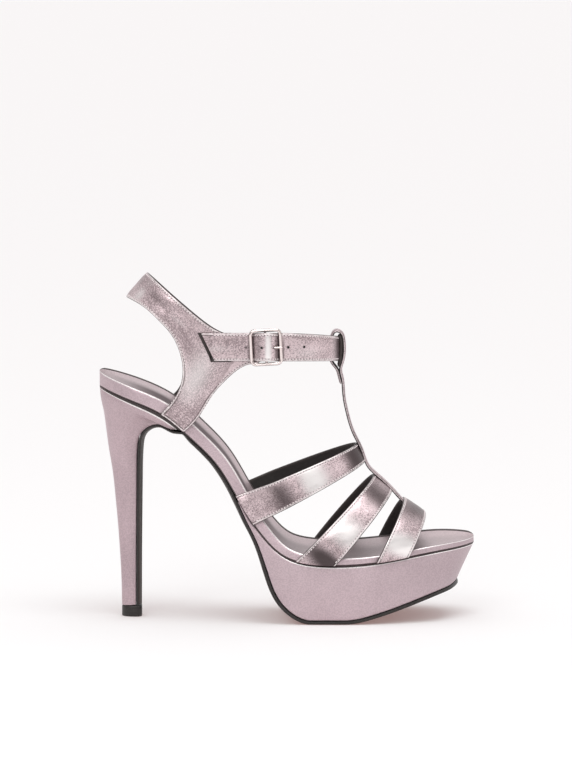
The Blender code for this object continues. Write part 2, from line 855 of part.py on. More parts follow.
def band_y(place, side):
    """The side piece's middle surface: from the footbed's edge up to the ring round the ankle."""
    share = FOOT.share_at_x(place[0])
    out = 1.5 * CLEARANCE + STRAP_THICK / 2
    low = leg_foot(min(max(share, LEG_FEET[0]), LEG_FEET[1]))[1]
    high = ankle_level(0)
    up = min(max((place[1] - low) / (high - low), 0), 1)
    blend = up * up * (3 - 2 * up)
    near_edge = edge_y(min(max(share, LEG_FEET[0]), LEG_FEET[1]), side, out)
    ring = RING_Y + side * ANKLE_WIDTH / 2
    y = near_edge + (ring - near_edge) * blend
    corner = band_point(BAND_BACK[0])
    line = band_point(BAND_TOP[0]) - corner
    inward = right_of(line / np.linalg.norm(line))
    reach = min(max(np.dot(place - corner, inward) / BAND_ROUND, 0), 1)
    return RING_Y + (y - RING_Y) * math.sqrt(1 - (1 - reach) ** 2)


def leaning(place, y):
    """A place on a side piece, raised or lowered with the ring's lean above the footbed."""
    low = leg_foot(LEG_FEET[0])[1]
    up = min(max((place[1] - low) / (ankle_level(0) - low), 0), 1)
    return np.array([place[0], y, place[1] + lean(y) * up])


def make_quarter():
    across = [i / 6 for i in range(7)]
    top, low = band_rails((16, 9))
    sides = {}
    for side in (-1, 1):
        rows = []
        for a, b in zip(top, low):
            row = []
            for share in across:
                place = a + (b - a) * share
                row.append(leaning(place, band_y(place, side)))
            rows.append(row)
        sides[side] = rows
    thick = [STRAP_THICK] * len(sides[1])
    bar_x, bar_y = BUCKLE_CENTRE, bar_line()
    radius = CENTRE_BAR_DIAMETER / 2 + CLEARANCE + TAB_THICK / 2
    ends = sides[-1][-1]
    curl, curl_thick = [], []
    end_x = ends[0][0]
    end_y = ends[0][1]
    for step in (0.35, 0.7):
        x = end_x + (bar_x - end_x) * step
        blend = step * step * (3 - 2 * step)
        curl.append((x, end_y + (bar_y + radius - end_y) * blend))
        curl_thick.append(STRAP_THICK + (TAB_THICK - STRAP_THICK) * step)
    for turn in spaced(math.pi / 2, -math.pi * 0.78, 12):
        curl.append((bar_x + radius * math.cos(turn), bar_y + radius * math.sin(turn)))
        curl_thick.append(TAB_THICK)
    level = ankle_level(bar_x) + lean(bar_y)
    rows = []
    for number, (x, y) in enumerate(curl):
        settled = min((number + 1) / 3, 1)
        row = []
        for share, point in zip(across, ends):
            tab_z = level + TAB_SHARE * ANKLE_STRAP_WIDTH * (0.5 - share)
            row.append(np.array([x, y, point[2] + (tab_z - point[2]) * settled]))
        rows.append(row)
    grid = sides[1][::-1] + sides[-1][1:] + rows
    quarter = slab("quarter", grid, np.array(thick[::-1] + thick[1:] + curl_thick), "foil_leather")
    slot_high = PRONG_DIAMETER + 3 * CLEARANCE
    slot = block("prong_slot", (bar_x, bar_y, level), (TAB_SLOT, TAB_SLOT, slot_high))
    boolean(quarter, slot, "DIFFERENCE")
    return quarter


def block(name, centre, size):
    corners = [(x, y, z) for x in (-0.5, 0.5) for y in (-0.5, 0.5) for z in (-0.5, 0.5)]
    points = [tuple(c + k * s for c, k, s in zip(centre, corner, size)) for corner in corners]
    faces = [(0, 1, 3, 2), (4, 6, 7, 5), (0, 4, 5, 1), (2, 3, 7, 6), (0, 2, 6, 4), (1, 5, 7, 3)]
    return add(name, points, faces, "foil_leather")


def strap_line():
    """y of the ankle strap's middle surface where it lies flat on the outer side piece."""
    return RING_Y - (ANKLE_WIDTH / 2 + STRAP_THICK / 2 + CLEARANCE + ANKLE_STRAP_THICK / 2)


def frame_line():
    """y of the buckle frame's plane: its end bars lie on the strap."""
    return strap_line() - ANKLE_STRAP_THICK / 2 - CLEARANCE - BAR_DIAMETER / 2


def bar_line():
    """y of the centre bar, set a little towards the foot."""
    return frame_line() + 0.55 * BAR_DIAMETER


def hump():
    """How far the strap stands out over the centre bar and the tab round it."""
    crest = bar_line() - CENTRE_BAR_DIAMETER / 2 - 2 * CLEARANCE - TAB_THICK - ANKLE_STRAP_THICK / 2
    return strap_line() - crest


def strap_y(x):
    """The strap's middle surface along the outer side, with the hump over the centre bar."""
    reach = (BUCKLE_LENGTH - BAR_DIAMETER) / 2
    away = abs(x - BUCKLE_CENTRE) / reach
    if away >= 1:
        return strap_line()
    flat = 0.22
    turn = max(away - flat, 0) / (1 - flat)
    return strap_line() - hump() * (1 + math.cos(math.pi * min(turn, 1))) / 2


def ankle_route():
    """The ankle strap seen from above: outer tail, buckle, front of the ankle and lap on the inner side."""
    front_x = length_x(STRAP_FRONT)
    wide = abs(strap_line() - RING_Y)
    route = [(x, strap_y(x)) for x in spaced(length_x(TAIL_END), BUCKLE_CENTRE - BUCKLE_LENGTH / 2, 12)]
    route += [(x, strap_y(x)) for x in spaced(route[-1][0], front_x, 30)[1:]]
    for turn in spaced(0, math.pi, 30)[1:]:
        side = -math.cos(turn)
        reach = math.sin(turn) ** 0.92
        route.append((front_x + (ANKLE_FRONT - front_x) * reach, RING_Y + wide * side))
    route += [(x, RING_Y + wide) for x in spaced(front_x, length_x(LAP_END), 6)[1:]]
    return route


def prong_line():
    """The prong seen from above: its hook round the back of the centre bar and its run to the front bar."""
    bar_y = bar_line()
    radius = CENTRE_BAR_DIAMETER / 2 + CLEARANCE + PRONG_DIAMETER / 2
    front = BUCKLE_CENTRE + (BUCKLE_LENGTH - BAR_DIAMETER) / 2
    rest = frame_line() - BAR_DIAMETER / 2 - CLEARANCE - PRONG_DIAMETER / 2
    route = []
    for turn in spaced(-math.pi * 1.95, -math.pi * 0.5, 12):
        route.append((BUCKLE_CENTRE + radius * math.cos(turn), bar_y + radius * math.sin(turn)))
    run = 2 * PRONG_DIAMETER
    route += [(BUCKLE_CENTRE + run, bar_y - radius - CLEARANCE / 2), (front - run, rest + CLEARANCE / 3)]
    route += [(front, rest), (front + PRONG_DIAMETER, rest + CLEARANCE / 3)]
    return route


def make_ankle_strap():
    rows = []
    for number, (x, y) in enumerate(ankle_route()):
        slant = TAIL_SLANT * max(1 - number / 3, 0)
        row = []
        for share in (-1, 0, 1):
            z = ankle_level(x) + lean(y) + share * ankle_half(x)
            row.append([x + slant * (1 - share) / 2, y, z])
        rows.append(row)
    strap = slab("ankle_strap", rows, ANKLE_STRAP_THICK, "foil_leather")
    level = ankle_level(BUCKLE_CENTRE) + lean(bar_line())
    route = [(x, y, level) for x, y in prong_line()[12:]]
    bore = tube("prong_bore", route, PRONG_DIAMETER + 2 * CLEARANCE, "foil_leather", 8, plane=(0, 0, 1))
    boolean(strap, bore, "DIFFERENCE")
    return strap


def make_buckle_frame():
    half_x = (BUCKLE_LENGTH - BAR_DIAMETER) / 2
    half_z = (BUCKLE_HEIGHT - BAR_DIAMETER) / 2
    level = ankle_level(BUCKLE_CENTRE) + lean(bar_line())
    corner = BUCKLE_CORNER
    route = []
    for sign_x, sign_z, start in ((1, 1, 0), (-1, 1, 90), (-1, -1, 180), (1, -1, 270)):
        for turn in spaced(start, start + 90, 5):
            angle = math.radians(turn)
            x = BUCKLE_CENTRE + sign_x * (half_x - corner) + corner * math.cos(angle)
            z = level + sign_z * (half_z - corner) + corner * math.sin(angle)
            route.append((x, frame_line(), z))
    frame = tube("buckle_frame", route, BAR_DIAMETER, "buckle_metal", 8, closed=True)
    ends = [(BUCKLE_CENTRE, bar_line(), level - half_z), (BUCKLE_CENTRE, bar_line(), level + half_z)]
    bar = tube("centre_bar", ends, CENTRE_BAR_DIAMETER, "buckle_metal", 10)
    boolean(frame, bar, "UNION")
    return frame


def make_buckle_prong():
    level = ankle_level(BUCKLE_CENTRE) + lean(bar_line())
    route = [(x, y, level) for x, y in prong_line()]
    return tube("buckle_prong", route, PRONG_DIAMETER, "buckle_metal", 8, plane=(0, 0, 1))


def centre():
    """Moves every object so that the shoe's box is centred on the Z axis."""
    bpy.context.view_layer.update()
    graph = bpy.context.evaluated_depsgraph_get()
    corners = []
    for piece in bpy.data.objects:
        if not piece.hide_render:
            corners += [tuple(corner) for corner in piece.evaluated_get(graph).bound_box]
    corners = np.array(corners)
    middle = (corners.min(axis=0) + corners.max(axis=0)) / 2
    for piece in bpy.data.objects:
        piece.location = (-middle[0], -middle[1], 0)


def main():
    for old in list(bpy.data.objects):
        bpy.data.objects.remove(old)
    make_outsole()
    make_platform()
    make_insole()
    make_heel()
    make_top_piece()
    make_upper()
    make_quarter()
    make_ankle_strap()
    make_buckle_frame()
    make_buckle_prong()
    centre()


main()
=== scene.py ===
"""A right strappy heeled sandal in rose metallic leather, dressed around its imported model.

Metres, +Z up. The toe points to +X, the outer (lateral) side to -Y, and the sole stands on z = 0.
The footbed is one smooth curve seen from the side. Lengths along it are shares of its arc, from the
back of the heel (0) to the tip of the toe (1), as in the model's own source.
"""

import json
import logging
import math
from dataclasses import dataclass
from enum import Enum

import bmesh
import bpy
import numpy as np
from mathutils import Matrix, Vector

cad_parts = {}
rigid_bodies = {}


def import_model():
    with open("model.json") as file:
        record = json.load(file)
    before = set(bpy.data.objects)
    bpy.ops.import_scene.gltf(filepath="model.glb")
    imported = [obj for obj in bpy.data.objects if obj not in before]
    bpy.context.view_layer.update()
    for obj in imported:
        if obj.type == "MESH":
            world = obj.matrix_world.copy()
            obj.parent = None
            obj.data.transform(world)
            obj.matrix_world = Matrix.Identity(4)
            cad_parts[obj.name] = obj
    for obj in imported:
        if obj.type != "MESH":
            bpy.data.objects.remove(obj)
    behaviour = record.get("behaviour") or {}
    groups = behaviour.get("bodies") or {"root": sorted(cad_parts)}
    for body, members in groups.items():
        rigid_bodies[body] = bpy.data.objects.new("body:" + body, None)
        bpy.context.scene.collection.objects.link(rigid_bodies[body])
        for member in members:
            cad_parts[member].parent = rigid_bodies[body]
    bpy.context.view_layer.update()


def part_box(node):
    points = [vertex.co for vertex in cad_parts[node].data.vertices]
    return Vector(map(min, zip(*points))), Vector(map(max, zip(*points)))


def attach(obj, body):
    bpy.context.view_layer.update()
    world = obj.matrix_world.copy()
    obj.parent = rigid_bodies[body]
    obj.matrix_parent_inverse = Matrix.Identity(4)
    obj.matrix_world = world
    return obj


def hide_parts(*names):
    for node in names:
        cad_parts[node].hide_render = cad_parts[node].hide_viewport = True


Rows = tuple[tuple[float, ...], ...]
BODY = "root"
# Distances from a strap's long edges at which its grid has a column, and the column that the stitches follow.
NEAR_EDGE = np.array([0.0, 0.02, 0.08, 0.18, 0.32, 0.50, 0.72, 1.0, 1.3, 1.6, 2.0, 2.5]) * 1e-3
STITCH_COLUMN = 8
# Distances from a strap's ends at which its grid has a row.
NEAR_END = NEAR_EDGE[:8]
SPARKLE_SCALE = 1350.0
AIM_HEIGHT = 0.1320
log = logging.getLogger("sandal")


class Slot(Enum):
    """The record's material slots."""

    FOIL = "foil_leather"
    SATIN = "satin_cover"
    RUBBER = "sole_rubber"
    METAL = "buckle_metal"


class Edge(Enum):
    """The two long edges of a strap's grid."""

    FIRST = 0
    LAST = 1


def spline(knots: np.ndarray, values: np.ndarray, places: np.ndarray) -> np.ndarray:
    """A natural cubic through rows of values.

    Args:
        knots: where each row lies, rising.
        values: one row per knot.
        places: where the curve is read.

    Returns:
        One row per place.
    """
    steps = np.diff(knots)
    matrix = np.eye(len(knots))
    right = np.zeros_like(values)
    for i in range(1, len(knots) - 1):
        matrix[i, i - 1 : i + 2] = steps[i - 1], 2 * (steps[i - 1] + steps[i]), steps[i]
        right[i] = 6 * ((values[i + 1] - values[i]) / steps[i] - (values[i] - values[i - 1]) / steps[i - 1])
    bends = np.linalg.solve(matrix, right)
    index = np.clip(np.searchsorted(knots, places) - 1, 0, len(knots) - 2)
    step = steps[index][:, None]
    near = (places - knots[index])[:, None] / step
    far = 1 - near
    bent = ((far**3 - far) * bends[index] + (near**3 - near) * bends[index + 1]) * step**2 / 6
    return far * values[index] + near * values[index + 1] + bent


def spread(rows: np.ndarray, shares: np.ndarray) -> np.ndarray:
    """Reads each row of points at its own shares across, by a natural cubic.

    Args:
        rows: rows x columns x 3 points.
        shares: rows x places, each from 0 to 1.

    Returns:
        rows x places x 3 points.
    """
    count = rows.shape[1]
    matrix = np.eye(count)
    for i in range(1, count - 1):
        matrix[i, i - 1 : i + 2] = 1, 4, 1
    right = np.zeros_like(rows)
    right[:, 1:-1] = 6 * (rows[:, 2:] - 2 * rows[:, 1:-1] + rows[:, :-2])
    bends = np.einsum("ij,rjk->rik", np.linalg.inv(matrix), right)
    place = shares * (count - 1)
    index = np.clip(place.astype(int), 0, count - 2)
    near = (place - index)[..., None]
    far = 1 - near
    line = np.arange(len(rows))[:, None]
    bent = ((far**3 - far) * bends[line, index] + (near**3 - near) * bends[line, index + 1]) / 6
    return far * rows[line, index] + near * rows[line, index + 1] + bent


def unit(vectors: np.ndarray) -> np.ndarray:
    """The vectors at length one."""
    return vectors / np.maximum(np.linalg.norm(vectors, axis=-1, keepdims=True), 1e-12)


def ease(values: np.ndarray | float) -> np.ndarray:
    """A soft step from 0 to 1."""
    held = np.clip(values, 0, 1)
    return held * held * (3 - 2 * held)


def spaced(start: float, end: float, count: int) -> list[float]:
    """Evenly spaced numbers, both ends among them."""
    return [start + (end - start) * i / count for i in range(count + 1)]


def rounded(start: float, end: float, count: int, first: float = 0.07) -> list[float]:
    """Shares that crowd towards the round end at start.

    Args:
        start: the round end.
        end: where the round turns straight.
        count: number of steps.
        first: smallest part of a quarter turn.

    Returns:
        The shares, from start to end.
    """
    turns = [math.pi / 2 * (first + (1 - first) * i / count) for i in range(count + 1)]
    return [start + (end - start) * (1 - math.cos(turn)) for turn in turns]


def quarter_turns() -> list[float]:
    """Turns of a quarter circle, the first one just off its start."""
    return [math.pi / 2 * share for share in spaced(0.04, 1.0, 20)]


def left_of(direction: np.ndarray) -> np.ndarray:
    """A quarter turn to the left in the side view."""
    return np.array([-direction[1], direction[0]])


def right_of(direction: np.ndarray) -> np.ndarray:
    """A quarter turn to the right in the side view."""
    return np.array([direction[1], -direction[0]])


def in_plane(place: np.ndarray, y: float) -> np.ndarray:
    """A place of the side view at this distance across."""
    return np.array([place[0], y, place[1]])


def mirrored(side: list[tuple[np.ndarray, float]], middle: float) -> list[np.ndarray]:
    """A ring that runs along the outer side and back along the inner one.

    Args:
        side: places of the side view, each with half the width there.
        middle: y of the ring's middle line.

    Returns:
        The ring's points.
    """
    left = [in_plane(place, middle - wide) for place, wide in side]
    return left + [in_plane(place, middle + wide) for place, wide in side[::-1]]


class Table:
    """Columns read along their first column by cubics that never overshoot their rows."""

    def __init__(self, rows: Rows) -> None:
        """Works out the slopes at each row.

        Args:
            rows: a key and its values in each row, the keys rising.
        """
        table = np.array(rows, float)
        self.keys = table[:, 0]
        self.values = table[:, 1:]
        slopes = np.diff(self.values, axis=0) / np.diff(self.keys)[:, None]
        tangents = np.vstack([slopes[:1], (slopes[:-1] + slopes[1:]) / 2, slopes[-1:]])
        tangents[1:-1][slopes[:-1] * slopes[1:] <= 0] = 0
        for i in range(len(slopes)):
            limit = 3 * np.abs(slopes[i])
            tangents[i] = np.clip(tangents[i], -limit, limit)
            tangents[i + 1] = np.clip(tangents[i + 1], -limit, limit)
        self.tangents = tangents

    def row(self, key: float) -> np.ndarray:
        """Every column at this key.

        Args:
            key: where the columns are read.

        Returns:
            One number per column.
        """
        key = min(max(key, self.keys[0]), self.keys[-1])
        i = min(max(int(np.searchsorted(self.keys, key)) - 1, 0), len(self.keys) - 2)
        step = self.keys[i + 1] - self.keys[i]
        t = (key - self.keys[i]) / step
        ends = (2 * t**3 - 3 * t**2 + 1) * self.values[i] + (3 * t**2 - 2 * t**3) * self.values[i + 1]
        return ends + step * ((t**3 - 2 * t**2 + t) * self.tangents[i] + (t**3 - t**2) * self.tangents[i + 1])

    def value(self, key: float) -> float:
        """The first column at this key."""
        return float(self.row(key)[0])


class Path:
    """A smooth curve through points, read by its share of the arc."""

    SAMPLES = 1200

    def __init__(self, points: list[np.ndarray]) -> None:
        """Lays the curve through the points.

        Args:
            points: places that the curve passes through, in order.
        """
        through = np.array(points, float)
        knots = np.concatenate([[0], np.cumsum(np.linalg.norm(np.diff(through, axis=0), axis=1))])
        self.points = spline(knots, through, np.linspace(0, knots[-1], self.SAMPLES))
        run = np.linalg.norm(np.diff(self.points, axis=0), axis=1)
        self.shares = np.concatenate([[0], np.cumsum(run)]) / run.sum()
        self.slopes = np.gradient(self.points, self.shares, axis=0)

    def at(self, share: float) -> np.ndarray:
        """The point at this share of the arc."""
        return np.array([np.interp(share, self.shares, column) for column in self.points.T])

    def along(self, share: float) -> np.ndarray:
        """The direction at this share of the arc."""
        return unit(np.array([np.interp(share, self.shares, column) for column in self.slopes.T]))

    def share_at_x(self, x: float) -> float:
        """The share of the arc where the curve reaches this x."""
        return float(np.interp(x, self.points[:, 0], self.shares))

    def share_near(self, place: np.ndarray) -> float:
        """The share of the arc nearest to a place."""
        return float(self.shares[np.argmin(np.linalg.norm(self.points - place, axis=1))])


@dataclass
class Last:
    """The last and the sole line that every piece is built on."""

    length: float = 0.209
    ball_width: float = 0.0785
    heel_pitch: float = 0.1005
    platform_height: float = 0.0310
    outsole_thick: float = 0.0022
    insole_thick: float = 0.0072
    clearance: float = 0.0003
    toe_setback: float = 0.0104
    instep_height: float = 0.0550
    heel_round: float = 0.113
    seat_middle: float = 0.181
    toe_round: float = 0.127
    waist_start: float = 0.235
    wedge_end: float = 0.226
    platform_start: float = 0.440
    footbed: Rows = (
        (0.000, 1.000), (0.100, 0.924), (0.200, 0.823), (0.265, 0.705), (0.338, 0.548), (0.393, 0.362),
        (0.463, 0.138), (0.510, 0.047), (0.570, 0.010), (0.700, 0.000), (0.790, 0.019), (0.886, 0.048),
        (1.006, 0.066),
    )
    plan_rows: Rows = (
        (0.000, 0.005, 0.360), (0.113, -0.006, 0.365), (0.250, -0.032, 0.333), (0.387, -0.052, 0.312),
        (0.533, -0.062, 0.385), (0.630, -0.055, 0.455), (0.750, -0.012, 0.500), (0.873, 0.040, 0.440),
        (1.000, 0.075, 0.385),
    )
    depth_rows: Rows = (
        (0.00, 1.06), (0.25, 0.98), (0.50, 0.86), (0.62, 0.72), (0.72, 0.58), (0.85, 0.52),
        (1.00, 0.43),
    )
    sole_rows: Rows = (
        (0.235, 0.000, 0.00), (0.400, 0.000, 0.00), (0.430, 0.012, 0.00), (0.480, 0.060, 0.00),
        (0.533, 0.145, 0.00), (0.560, 0.262, 0.00), (0.585, 0.490, 0.00), (0.605, 0.795, 0.00),
        (0.625, 0.950, 0.00), (0.645, 1.012, 0.00), (0.705, 1.014, 0.00), (0.735, 0.978, 0.00),
        (0.765, 0.925, 0.00), (0.835, 0.805, 0.00), (0.890, 0.728, 0.05), (0.945, 0.675, 0.30),
        (1.000, 0.640, 1.00),
    )
    breast_rows: Rows = (
        (0.2024, 0.8130), (0.1680, 0.8350), (0.1340, 0.8250), (0.1120, 0.7900), (0.1035, 0.7300),
        (0.1010, 0.6170), (0.0985, 0.3120), (0.0975, 0.0520),
    )

    def __post_init__(self) -> None:
        """Lays the footbed and the sole line."""
        self.depths = Table(self.depth_rows)
        self.plans = Table(self.plan_rows)
        self.soles = Table(self.sole_rows)
        ball_insole = self.insole_thick * self.depths.value(0.70)
        self.ball_top = self.outsole_thick + 2 * self.clearance + self.platform_height + ball_insole
        rises = [(self.x(share), self.ball_top + rise * self.heel_pitch) for share, rise in self.footbed]
        self.path = Path([np.array(rise) for rise in rises])
        self.seat_height = self.ball_top + self.heel_pitch - self.insole_thick
        self.ring_y = self.plans.value(0.25) * self.ball_width
        shares = rounded(1.0, 0.94, 3, 0.0) + spaced(0.92, self.waist_start, 30)
        places = [self.sole_point(share) for share in shares]
        places += [np.array([self.x(share), rise * self.seat_height]) for share, rise in self.breast_rows]
        self.sole = Path(places)
        self.waist_end = self.sole.share_near(self.sole_point(self.waist_start))

    def x(self, share: float) -> float:
        """x at a share of the shoe's length."""
        return (share - 0.5) * self.length

    def foot(self, share: float) -> tuple[np.ndarray, np.ndarray, np.ndarray]:
        """Point, direction and upward normal of the footbed in the side view."""
        direction = self.path.along(share)
        return self.path.at(share), direction, left_of(direction)

    def depth(self, share: float) -> float:
        """Thickness of the insole."""
        return self.insole_thick * self.depths.value(share)

    def plan(self, share: float) -> tuple[float, float]:
        """Middle line and half width of the footbed.

        Args:
            share: share of the arc.

        Returns:
            The middle line's y and the half width.
        """
        middle, half = self.plans.row(share) * self.ball_width
        if share < self.heel_round:
            half *= math.sqrt(1 - (1 - max(share, 0) / self.heel_round) ** 2)
        if share > 1 - self.toe_round:
            half *= math.sqrt(1 - (1 - (1 - min(share, 1)) / self.toe_round) ** 2)
        return float(middle), float(half)

    def edge_y(self, share: float, side: int, out: float = 0.0) -> float:
        """y of the footbed's edge on one side."""
        middle, half = self.plan(share)
        return middle + side * (half + out)

    def foot_point(self, share: float, y: float, height: float) -> np.ndarray:
        """A point over or under the footbed; the back of the seat stands near upright.

        Args:
            share: share of the arc.
            y: distance across.
            height: distance from the footbed.

        Returns:
            The point.
        """
        point, direction, normal = self.foot(share)
        start = self.path.along(0.0)
        upright = -start[1] / start[0] * max(1 - share / self.heel_round, 0)
        return in_plane(point + normal * height - direction * height * upright, y)

    def sole_point(self, share: float) -> np.ndarray:
        """Upper face of the outsole under the footbed.

        Args:
            share: share of the arc.

        Returns:
            The place in the side view.
        """
        point, direction, normal = self.foot(share)
        drop, setback = self.soles.row(share)
        depth = self.depth(share) + self.clearance + drop * (self.platform_height + self.clearance)
        place = point - normal * depth - direction * setback * self.toe_setback
        place[1] = max(place[1], self.outsole_thick)
        return place

    def leg_foot(self, share: float) -> np.ndarray:
        """Lower edge of the insole's side, where the straps' feet end."""
        point, _, normal = self.foot(share)
        return point - normal * self.depth(share)

    def upper_point(self, row: tuple[float, ...]) -> np.ndarray:
        """A row of the straps' tables as a place of the side view."""
        share, lift, rise = row
        return np.array([self.x(share), self.ball_top + lift * self.heel_pitch + rise * self.instep_height])


@dataclass
class AnkleRing:
    """Lines of the ring round the ankle: the strap, the buckle and the tab that holds it."""

    last: Last
    lean_height: float = 0.0050
    width: float = 0.0600
    front: float = 0.0289
    collar_height: float = 0.0545
    band_thick: float = 0.0018
    strap_thick: float = 0.0016
    strap_width: float = 0.0157
    strap_front: float = 0.492
    strap_level: float = 0.2440
    strap_taper: float = 0.0016
    tab_thick: float = 0.0010
    bar: float = 0.0018
    centre_bar: float = 0.0014
    prong: float = 0.0011
    buckle_length: float = 0.0182
    buckle_height: float = 0.0205
    buckle_corner: float = 0.0024
    buckle_x: float = -0.0111
    bar_set_in: float = 0.55
    crest_share: float = 0.22

    def lean(self, y: float) -> float:
        """The ring stands a little higher on the outer side."""
        return -self.lean_height * (y - self.last.ring_y) / self.width

    def drop(self, x: float) -> float:
        """How far the strap has narrowed towards the front, from 0 to 1."""
        start = self.last.x(self.strap_front)
        return min(max((x - start) / (self.front - start), 0), 1) ** 1.5

    def level(self, x: float) -> float:
        """Height of the ankle strap's middle line."""
        base = self.last.ball_top + self.last.heel_pitch + self.strap_level * self.collar_height
        return base - self.strap_taper / 2 * self.drop(x)

    def half(self, x: float) -> float:
        """Half width of the ankle strap."""
        return (self.strap_width - self.strap_taper * self.drop(x)) / 2

    def strap_line(self) -> float:
        """y of the strap's middle surface where it lies flat."""
        out = self.width / 2 + self.band_thick / 2 + self.last.clearance + self.strap_thick / 2
        return self.last.ring_y - out

    def frame_line(self) -> float:
        """y of the buckle frame's plane."""
        return self.strap_line() - self.strap_thick / 2 - self.last.clearance - self.bar / 2

    def bar_line(self) -> float:
        """y of the centre bar."""
        return self.frame_line() + self.bar_set_in * self.bar

    def strap_y(self, x: float) -> float:
        """The strap's middle surface along the outer side, with the hump over the centre bar.

        Args:
            x: place along the strap.

        Returns:
            y of the middle surface.
        """
        crest = self.bar_line() - self.centre_bar / 2 - 2 * self.last.clearance - self.tab_thick
        hump = self.strap_line() - crest + self.strap_thick / 2
        away = abs(x - self.buckle_x) / ((self.buckle_length - self.bar) / 2)
        turn = min(max(away - self.crest_share, 0) / (1 - self.crest_share), 1)
        return self.strap_line() - hump * (1 + math.cos(math.pi * turn)) / 2

    def shift(self) -> np.ndarray:
        """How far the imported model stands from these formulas.

        Returns:
            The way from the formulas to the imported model.
        """
        low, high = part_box("buckle_frame")
        x = (low[0] + high[0]) / 2 - self.buckle_x
        return np.array([x, low[1] - (self.frame_line() - self.bar / 2), 0.0])


class Nodes:
    """A node tree that is filled in by short calls."""

    def __init__(self, tree: bpy.types.NodeTree) -> None:
        """Keeps the tree."""
        self.tree = tree

    def add(self, kind: str, inputs: dict | None = None, **settings: object) -> bpy.types.Node:
        """Adds a node.

        Args:
            kind: the node's type name, without ShaderNode.
            inputs: socket name or number to a value or to another node's output.
            settings: the node's own settings.

        Returns:
            The node.
        """
        made = self.tree.nodes.new(f"ShaderNode{kind}")
        for name, value in settings.items():
            setattr(made, name, value)
        for name, value in (inputs or {}).items():
            self.feed(made.inputs[name], value)
        return made

    def feed(self, socket: bpy.types.NodeSocket, value: object) -> None:
        """Links an output to a socket, or sets the socket's value.

        Args:
            socket: the input.
            value: an output or a value.
        """
        if isinstance(value, bpy.types.NodeSocket):
            self.tree.links.new(value, socket)
        else:
            socket.default_value = value

    def ramp(
        self, value: object, low: float, high: float, to_low: float = 0.0, to_high: float = 1.0
    ) -> bpy.types.NodeSocket:
        """A value carried smoothly from one range to another."""
        names = {"Value": value, "From Min": low, "From Max": high, "To Min": to_low, "To Max": to_high}
        return self.add("MapRange", names, interpolation_type="SMOOTHSTEP").outputs["Result"]

    def mix(self, share: object, first: object, second: object) -> bpy.types.NodeSocket:
        """Two colours mixed.

        Args:
            share: share of the second colour.
            first: a colour.
            second: a colour.

        Returns:
            The colour.
        """
        made = self.add("Mix", {0: share}, data_type="RGBA")
        self.feed(made.inputs[6], first)
        self.feed(made.inputs[7], second)
        return made.outputs[2]

    def math(self, operation: str, first: object, second: object = 0.0) -> bpy.types.NodeSocket:
        """Two values joined by arithmetic."""
        return self.add("Math", {0: first, 1: second}, operation=operation).outputs[0]

    def blend(self, *parts: tuple[object, float]) -> bpy.types.NodeSocket:
        """Values added up, each by its weight.

        Args:
            parts: pairs of a value and its weight.

        Returns:
            The sum.
        """
        total = None
        for value, weight in parts:
            part = self.math("MULTIPLY", value, weight)
            total = part if total is None else self.math("ADD", total, part)
        return total

    def noise(
        self, vector: object, scale: float, detail: float = 2.0, rough: float = 0.5
    ) -> bpy.types.NodeSocket:
        """Plain noise, from 0 to 1."""
        takes = {"Vector": vector, "Scale": scale, "Detail": detail, "Roughness": rough}
        return self.add("TexNoise", takes).outputs["Fac"]

    def attribute(self, name: str) -> bpy.types.Node:
        """A value that the mesh holds for each point."""
        return self.add("Attribute", attribute_name=name)

    def stretched(self, vector: object, scale: tuple[float, float, float]) -> bpy.types.NodeSocket:
        """A vector stretched along its axes."""
        return self.add("Mapping", {"Vector": vector, "Scale": scale}).outputs[0]


def group(name: str, takes: dict[str, str], gives: dict[str, str]) -> tuple[Nodes, object, object]:
    """An empty shader node group.

    Args:
        name: the group's name.
        takes: input names and socket types.
        gives: output names and socket types.

    Returns:
        The group's nodes, its input node's outputs and its output node.
    """
    tree = bpy.data.node_groups.new(name, "ShaderNodeTree")
    for label, kind in takes.items():
        tree.interface.new_socket(label, in_out="INPUT", socket_type=f"NodeSocket{kind}")
    for label, kind in gives.items():
        tree.interface.new_socket(label, in_out="OUTPUT", socket_type=f"NodeSocket{kind}")
    return Nodes(tree), tree.nodes.new("NodeGroupInput").outputs, tree.nodes.new("NodeGroupOutput")


def foil_crinkle() -> bpy.types.NodeTree:
    """Fine cracks and soft waves of a foil finish, as a height and a random colour mix.

    Returns:
        The group.
    """
    nodes, given, out = group("foil crinkle", {"Vector": "Vector"}, {"Height": "Float", "Tone": "Float"})
    place = given["Vector"]
    fine = nodes.noise(place, 1500.0, 3.0, 0.6)
    takes = {"Vector": nodes.stretched(place, (0.7, 1.0, 1.0)), "Scale": 950.0}
    cells = nodes.add("TexVoronoi", takes, feature="DISTANCE_TO_EDGE")
    cracks = nodes.ramp(cells.outputs["Distance"], 0.0, 0.22)
    wrinkles = nodes.noise(nodes.stretched(place, (0.35, 1.0, 1.0)), 420.0, 4.0, 0.62)
    nodes.feed(out.inputs["Height"], nodes.blend((fine, 0.25), (wrinkles, 0.55), (cracks, 0.20)))
    clouds = nodes.noise(nodes.stretched(place, (0.5, 1.0, 1.0)), 70.0)
    sparkle = nodes.noise(place, SPARKLE_SCALE, 1.5)
    nodes.feed(out.inputs["Tone"], nodes.ramp(nodes.blend((clouds, 0.35), (sparkle, 0.65)), 0.36, 0.62))
    return nodes.tree


